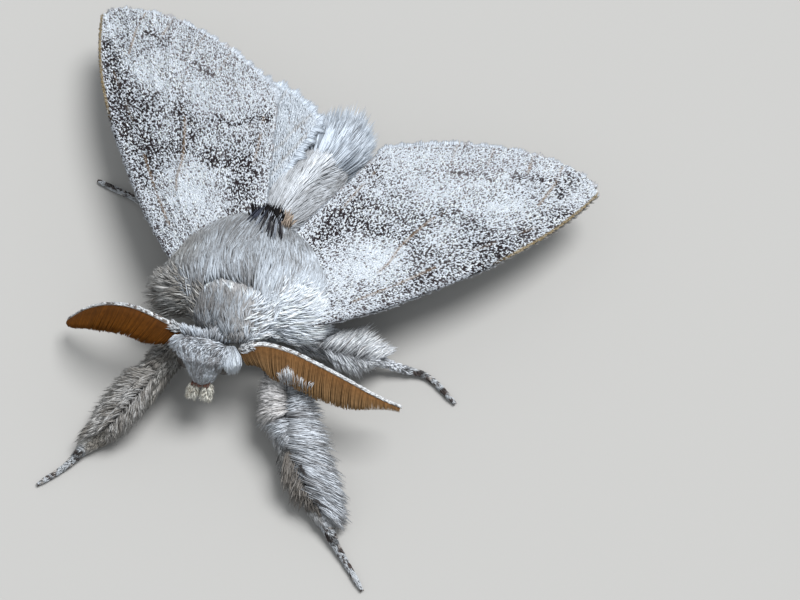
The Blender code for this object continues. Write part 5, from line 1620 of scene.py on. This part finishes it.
# claws: two small dark hooks on each foot
claw_m, t_, n_, l_, b_ = new_mat("claw")
nz = n_.new("ShaderNodeTexNoise")
nz.inputs["Scale"].default_value = 30000.0
cr = n_.new("ShaderNodeValToRGB")
cr.color_ramp.elements[0].color = (0.02, 0.012, 0.008, 1)
cr.color_ramp.elements[1].color = (0.07, 0.035, 0.02, 1)
l_.new(nz.outputs["Fac"], cr.inputs["Fac"])
l_.new(cr.outputs["Color"], b_.inputs["Base Color"])
b_.inputs["Roughness"].default_value = 0.3
V, F, at = [], [], 0
for nm, rows in LEGS.items():
    r = np.array(rows)[:, :3]
    e = r[-1]
    ax = unit(r[-1] - r[-2])
    sd = unit(np.cross(ax, (0, 0, 1.0)))
    e = e - ax * 0.30
    for s in (-1, 1):
        k = np.linspace(0, 1, 6)
        line = e + np.outer(k * 0.30, ax) + np.outer(s * (0.04 + 0.12 * k - 0.06 * k * k), sd)
        line[:, 2] = 0.12 + 0.10 * np.sin(k * 2.4) - 0.10 * k
        rad = 0.045 * (1 - k) ** 0.7 + 0.004
        tg = unit(np.gradient(line, axis=0))
        u1 = unit(np.cross(tg, (0, 0, 1.0)))
        u2 = np.cross(u1, tg)
        an = np.arange(6) * math.pi / 3
        ringv = line[:, None] + (u1[:, None] * np.cos(an)[None, :, None] + u2[:, None] * np.sin(an)[None, :, None]) * rad[:, None, None]
        v = ringv.reshape(-1, 3)
        v[:, 2] = np.maximum(v[:, 2], 0.01)
        f = []
        for i in range(5):
            for j in range(6):
                x, y = i * 6 + j, i * 6 + (j + 1) % 6
                f.append((x, y, y + 6, x + 6))
        f.append((5, 4, 3, 2))
        f.append((5, 2, 1, 0))
        f.append((30, 31, 32, 33))
        f.append((30, 33, 34, 35))
        V.append(v)
        F.append(np.array(f) + at)
        at += len(v)
place(build("claws", np.concatenate(V), [np.concatenate(F)]), claw_m, "leg_coat")

# ------------------------------------------------------------------ eyes
eye_m, t_, n_, l_, b_ = new_mat("eye_black")
co = n_.new("ShaderNodeTexCoord")
vo = n_.new("ShaderNodeTexVoronoi")
vo.inputs["Scale"].default_value = 16000.0
l_.new(co.outputs["Object"], vo.inputs["Vector"])
bp = n_.new("ShaderNodeBump")
bp.inputs["Strength"].default_value = 0.5
bp.inputs["Distance"].default_value = 0.00002
bp.invert = True
l_.new(vo.outputs["Distance"], bp.inputs["Height"])
l_.new(bp.outputs["Normal"], b_.inputs["Normal"])
mr = n_.new("ShaderNodeMix")
mr.data_type = "RGBA"
mr.inputs["A"].default_value = (0.012, 0.010, 0.010, 1)
mr.inputs["B"].default_value = (0.035, 0.026, 0.020, 1)
l_.new(vo.outputs["Distance"], mr.inputs["Factor"])
l_.new(mr.outputs["Result"], b_.inputs["Base Color"])
b_.inputs["Roughness"].default_value = 0.22
for s in ("left", "right"):
    c = EYE[s]
    t = np.linspace(0, math.pi, 25)[1:-1]
    a = np.linspace(0, 2 * math.pi, 36, endpoint=False)
    T, A = np.meshgrid(t, a, indexing="ij")
    P = c + EYE_R * np.stack([np.sin(T) * np.cos(A), np.sin(T) * np.sin(A), 1.06 * np.cos(T)], -1).reshape(-1, 3)
    P = np.concatenate([P, [c + (0, 0, EYE_R * 1.06)], [c - (0, 0, EYE_R * 1.06)]])
    i, j = np.meshgrid(np.arange(22), np.arange(36), indexing="ij")
    x = (i * 36 + j).ravel()
    y = (i * 36 + (j + 1) % 36).ravel()
    quads = np.stack([x, x + 36, y + 36, y], 1)
    j = np.arange(36)
    m = 23 * 36
    caps = np.concatenate([np.stack([np.full(36, m), j, (j + 1) % 36], 1), np.stack([np.full(36, m + 1), 22 * 36 + (j + 1) % 36, 22 * 36 + j], 1)])
    place(build("eye_ball_" + s, P, [quads, caps]), eye_m, "eye", "eye_" + s)

# ------------------------------------------------------------------ antennae
RACHIS = {
    "left": ((1.75, -5.05, 4.85), (3.02, -4.33, 5.1), (4.83, -4.15, 5.15), (6.88, -4.28, 4.9), (8.93, -4.46, 4.5),
             (10.65, -4.62, 4.1), (12.42, -4.58, 3.6)),
    "right": ((-2.09, -5.15, 4.85), (-3.45, -5.0, 5.15), (-5.30, -4.86, 5.2), (-7.05, -4.95, 4.65), (-8.80, -5.25, 3.3),
              (-10.35, -5.75, 1.45)),
}
RAMUS = {"left": (0.28, -0.78, -0.56), "right": (-0.10, -0.80, -0.60)}


def ramus_length(t, side):
    full = 1.95 * (0.50 + 0.50 * smooth(t, 0.0, 0.22)) * (1.0 - 0.90 * smooth(t, 0.46, 1.02))
    if side == "right":
        return 1.95 * np.interp(t, (0.0, 0.1, 0.22, 0.33, 0.5, 0.64, 0.77, 0.88, 0.94, 1.0), (0.48, 0.76, 0.92, 0.91, 0.92, 0.84, 0.66, 0.48, 0.34, 0.09))
    return full * (1 + 0.14 * smooth(t, 0.5, 0.8))


comb_m = hair_mat("antenna_comb", rough=0.75, sheen=0.0, spread=0.16, scale=5000.0, spec=0.08)
stem_m = hair_mat("antenna_stem", rough=0.65, sheen=0.1)


def rods(root, mid, tip, up, r0, c0, c1, sides=5, rings=5):
    N = len(root)
    S = np.linspace(0, 1, rings)
    vs, cs = [], []
    for s in S:
        c = root * (1 - s) ** 2 + mid * (2 * s * (1 - s)) + tip * s * s
        d = unit((mid - root) * (1 - s) + (tip - mid) * s)
        side = unit(np.cross(up, d))
        top = np.cross(d, side)
        r = r0 * (1.0 - 0.62 * s ** 1.5)
        for k in range(sides):
            an = 2 * math.pi * k / sides
            vs.append(c + (side * math.cos(an) * 1.15 + top * math.sin(an) * 0.85) * r[:, None])
            cs.append(lerp(c0, c1, s))
    m = rings * sides
    V = np.stack(vs, 1).reshape(-1, 3)
    C = np.stack(cs, 1).reshape(-1, 3)
    base = (np.arange(N) * m)[:, None]
    tri = []
    for i in range(rings - 1):
        for k in range(sides):
            x, y = i * sides + k, i * sides + (k + 1) % sides
            tri += [(x, y, x + sides), (y, y + sides, x + sides)]
    e = (rings - 1) * sides
    tri += [(0, k + 1, k) for k in range(1, sides - 1)] + [(e, e + k, e + k + 1) for k in range(1, sides - 1)]
    F = np.concatenate([base + np.array(f)[None] for f in tri])
    return V, F, C


for s in ("left", "right"):
    line = RACHIS[s]
    nr = 118
    t = np.linspace(0.012, 0.985, nr)
    p, dd, _, _ = axis_frame(line, t)
    hang = unit(np.array(RAMUS[s], float))
    low = unit(hang - dd * ((dd @ hang) * 0.7)[:, None])
    across = unit(np.cross(dd, low))
    lenr = ramus_length(t, s)
    V, F, C, at = [], [], [], 0
    for row, sp in ((1, 0.20), (-1, 0.20), (0.35, 0.30), (-0.35, 0.30)):
        jit = rng.normal(0, 0.015, nr)
        aim = unit(low + across * (row * sp + jit)[:, None] + dd * (0.16 + rng.normal(0, 0.02, nr))[:, None])
        root = p + low * 0.08 + across * (row * 0.07)
        tip = root + aim * (lenr * (1 + 0.02 * rng.normal(0, 1, nr)))[:, None] + dd * (0.20 * lenr / 1.95)[:, None]
        mid = root + aim * (lenr * 0.5)[:, None] + across * (row * 0.10) - dd * 0.02
        if s == "right":
            c0, c1 = np.array((0.058, 0.020, 0.003)), np.array((0.100, 0.034, 0.003))
        else:
            c0, c1 = np.array((0.115, 0.054, 0.018)), np.array((0.172, 0.106, 0.050))
        k = (1 + 0.13 * rng.normal(0, 1, (nr, 1)).clip(-1.5, 1.5)) * (0.75 + 0.3 * smooth(t, 0.0, 0.4))[:, None]
        if s == "left":
            k = k * (1 - 0.30 * (1 - smooth(t, 0.04, 0.16)))[:, None]
        v, f, c = rods(root, mid, tip, across * row, np.full(nr, 0.060) * (0.75 + 0.25 * smooth(lenr, 0.3, 1.4)), c0 * k, c1 * k)
        V.append(v)
        F.append(f + at)
        C.append(c)
        at += len(v)
    comb = build("antenna_comb_" + s, np.concatenate(V), [np.concatenate(F)], np.concatenate(C))
    place(comb, comb_m, "antenna", "antenna_" + s)
    # stem with its coat of white scales
    ts = np.linspace(0, 1, 60)
    ps, ds, _, _ = axis_frame(line, ts)
    lo_ = unit(hang - ds * ((ds @ hang) * 0.7)[:, None])
    ac = unit(np.cross(ds, lo_))
    rr = 0.115 * (1 - 0.62 * ts) + 0.02
    an = np.arange(10) * 2 * math.pi / 10
    v = (ps[:, None] + (ac[:, None] * np.cos(an)[None, :, None] + lo_[:, None] * np.sin(an)[None, :, None]) * rr[:, None, None]).reshape(-1, 3)
    f = []
    for i in range(59):
        for j in range(10):
            x, y = i * 10 + j, i * 10 + (j + 1) % 10
            f.append((x, y, y + 10, x + 10))
    f = np.array(f)
    caps = [(0, k + 1, k) for k in range(1, 9)] + [(590, 590 + k, 590 + k + 1) for k in range(1, 9)]
    place(build("antenna_stem_" + s, v, [f, np.array(caps)], np.tile((0.42, 0.40, 0.38), (len(v), 1))), stem_m, "antenna")
    n = 1500
    t = rng.random(n) ** 1.1 * 0.97
    a = rng.random(n) * 2 * math.pi
    p, dd, _, _ = axis_frame(line, t)
    low = unit(hang - dd * ((dd @ hang) * 0.7)[:, None])
    across = unit(np.cross(dd, low))
    r = 0.098 * (1 - 0.62 * t) + 0.02
    out = across * np.cos(a)[:, None] - low * np.abs(np.sin(a))[:, None] * 1.0
    out = unit(out)
    root = p + out * (r * 0.8)[:, None]
    tip = root + unit(dd + out * 0.20 + rng.normal(0, 0.05, (n, 3))) * (0.30 + 0.1 * rng.random(n))[:, None]
    c = np.where((noise(root, 0.13, 5) > (0.30 if s == "right" else 0.46))[:, None], np.array((0.15, 0.125, 0.11)), np.array((0.66, 0.68, 0.70)))
    c = c * (1 + 0.12 * rng.normal(0, 1, (n, 1)))
    # white wool round the base of the antenna
    m = 110
    t2 = rng.random(m) * 0.10
    p2, d2, _, _ = axis_frame(line, t2)
    o2 = unit(rng.normal(0, 1, (m, 3)))
    o2 = unit(o2 - d2 * (o2 * d2).sum(1, keepdims=True))
    r2 = p2 + o2 * 0.10
    t3 = r2 + unit(d2 * 0.8 + o2 * 0.7) * (0.34 + 0.14 * rng.random(m))[:, None]
    c2 = np.tile((0.50, 0.52, 0.54), (m, 1)) * (0.75 + 0.4 * rng.random((m, 1)))
    coat_piece("coat_antenna_" + s, [
        locks(root, (root + tip) / 2 + out * 0.04, tip, out, np.full(n, 0.062), c * 0.8, c, np.stack([a / 6.2832 * 0.98 + 0.01, 0.01 + 0.9 * t], 1), rings=2, thick=0.3),
        locks(r2, (r2 + t3) / 2 + o2 * 0.05, t3, o2, np.full(m, 0.09), c2 * 0.6, c2, np.stack([rng.random(m) * 0.9 + 0.05, np.full(m, 0.95)], 1), rings=2),
    ], stem_m, "antenna")

# ------------------------------------------------------------------ wings
wing_m = skin_mat("wing_membrane", bump=0.00002, scale=9000.0, rough=0.7)
scale_m = hair_mat("wing_scales", rough=0.7, sheen=0.0, spread=0.05, spec=0.10)
for s in ("right", "left"):
    for hind in (False, True):
        name, V, faces, C, U = membrane(s, hind)
        slot = "hindwing" if hind else "forewing"
        place(build(name + "_membrane", V, faces, C, U), wing_m, slot, name)
        top = scales(s, hind, 33000 if not hind else 12000, False, rng, 0.220 if not hind else 0.48, 0.104 if not hind else 0.11)
        coat_piece("coat_" + name + "_upper", [top, fringe(s, hind, rng, 1700 if not hind else 2300, 0.52 if not hind else 0.95)], scale_m, slot)
        low = scales(s, hind, 10000 if not hind else 7000, True, rng, 0.44, 0.21)
        coat_piece("coat_" + name + "_under", [low], scale_m, slot)

# ------------------------------------------------------------------ stage
bpy.ops.mesh.primitive_plane_add(size=1.6, location=(0, 0, 0))
floor = bpy.context.object
floor.name = "floor"
fm, t_, n_, l_, b_ = new_mat("floor_plain")
b_.inputs["Base Color"].default_value = (0.345, 0.34, 0.328, 1)
b_.inputs["Roughness"].default_value = 0.9
floor.data.materials.append(fm)

world = bpy.data.worlds.new("studio")
bpy.context.scene.world = world
world.use_nodes = True
bg = world.node_tree.nodes["Background"]
bg.inputs["Color"].default_value = (0.93, 0.965, 1.0, 1)
bg.inputs["Strength"].default_value = 0.66


def soft_sun(name, pos, strength, angle, colour):
    d = bpy.data.lights.new(name, "SUN")
    d.angle = angle
    d.energy = strength
    d.color = colour
    o = bpy.data.objects.new(name, d)
    bpy.context.scene.collection.objects.link(o)
    o.location = pos
    o.rotation_euler = (-Vector(pos)).to_track_quat("-Z", "Y").to_euler()
    return o


key = soft_sun("key", (0.075, 0.115, 0.262), 4.35, 0.56, (0.985, 0.99, 1.0))

# ------------------------------------------------------------------ camera
ELEV, TURN, DIST = 64.0, 21.0, 110.0
AIM = np.array((9.00773151, 3.95438989, 0.0))
e, a = math.radians(ELEV), math.radians(TURN)
eye = AIM + DIST * np.array((math.sin(a) * math.cos(e), -math.cos(a) * math.cos(e), math.sin(e)))
cd = bpy.data.cameras.new("camera")
cam = bpy.data.objects.new("camera", cd)
bpy.context.scene.collection.objects.link(cam)
cd.sensor_fit = "HORIZONTAL"
cd.sensor_width = 36.0
cd.lens = 36.0 * 1661.0 / 800.0
cd.clip_start = 0.001
cd.clip_end = 10.0
cam.location = Vector((eye + SHIFT) * MM)
cam.rotation_euler = Vector((AIM - eye)).to_track_quat("-Z", "Y").to_euler()
bpy.context.scene.camera = cam

bpy.context.scene.view_settings.view_transform = "Standard"

print("triangles", sum(sum(len(p.vertices) - 2 for p in o.data.polygons) for o in made))
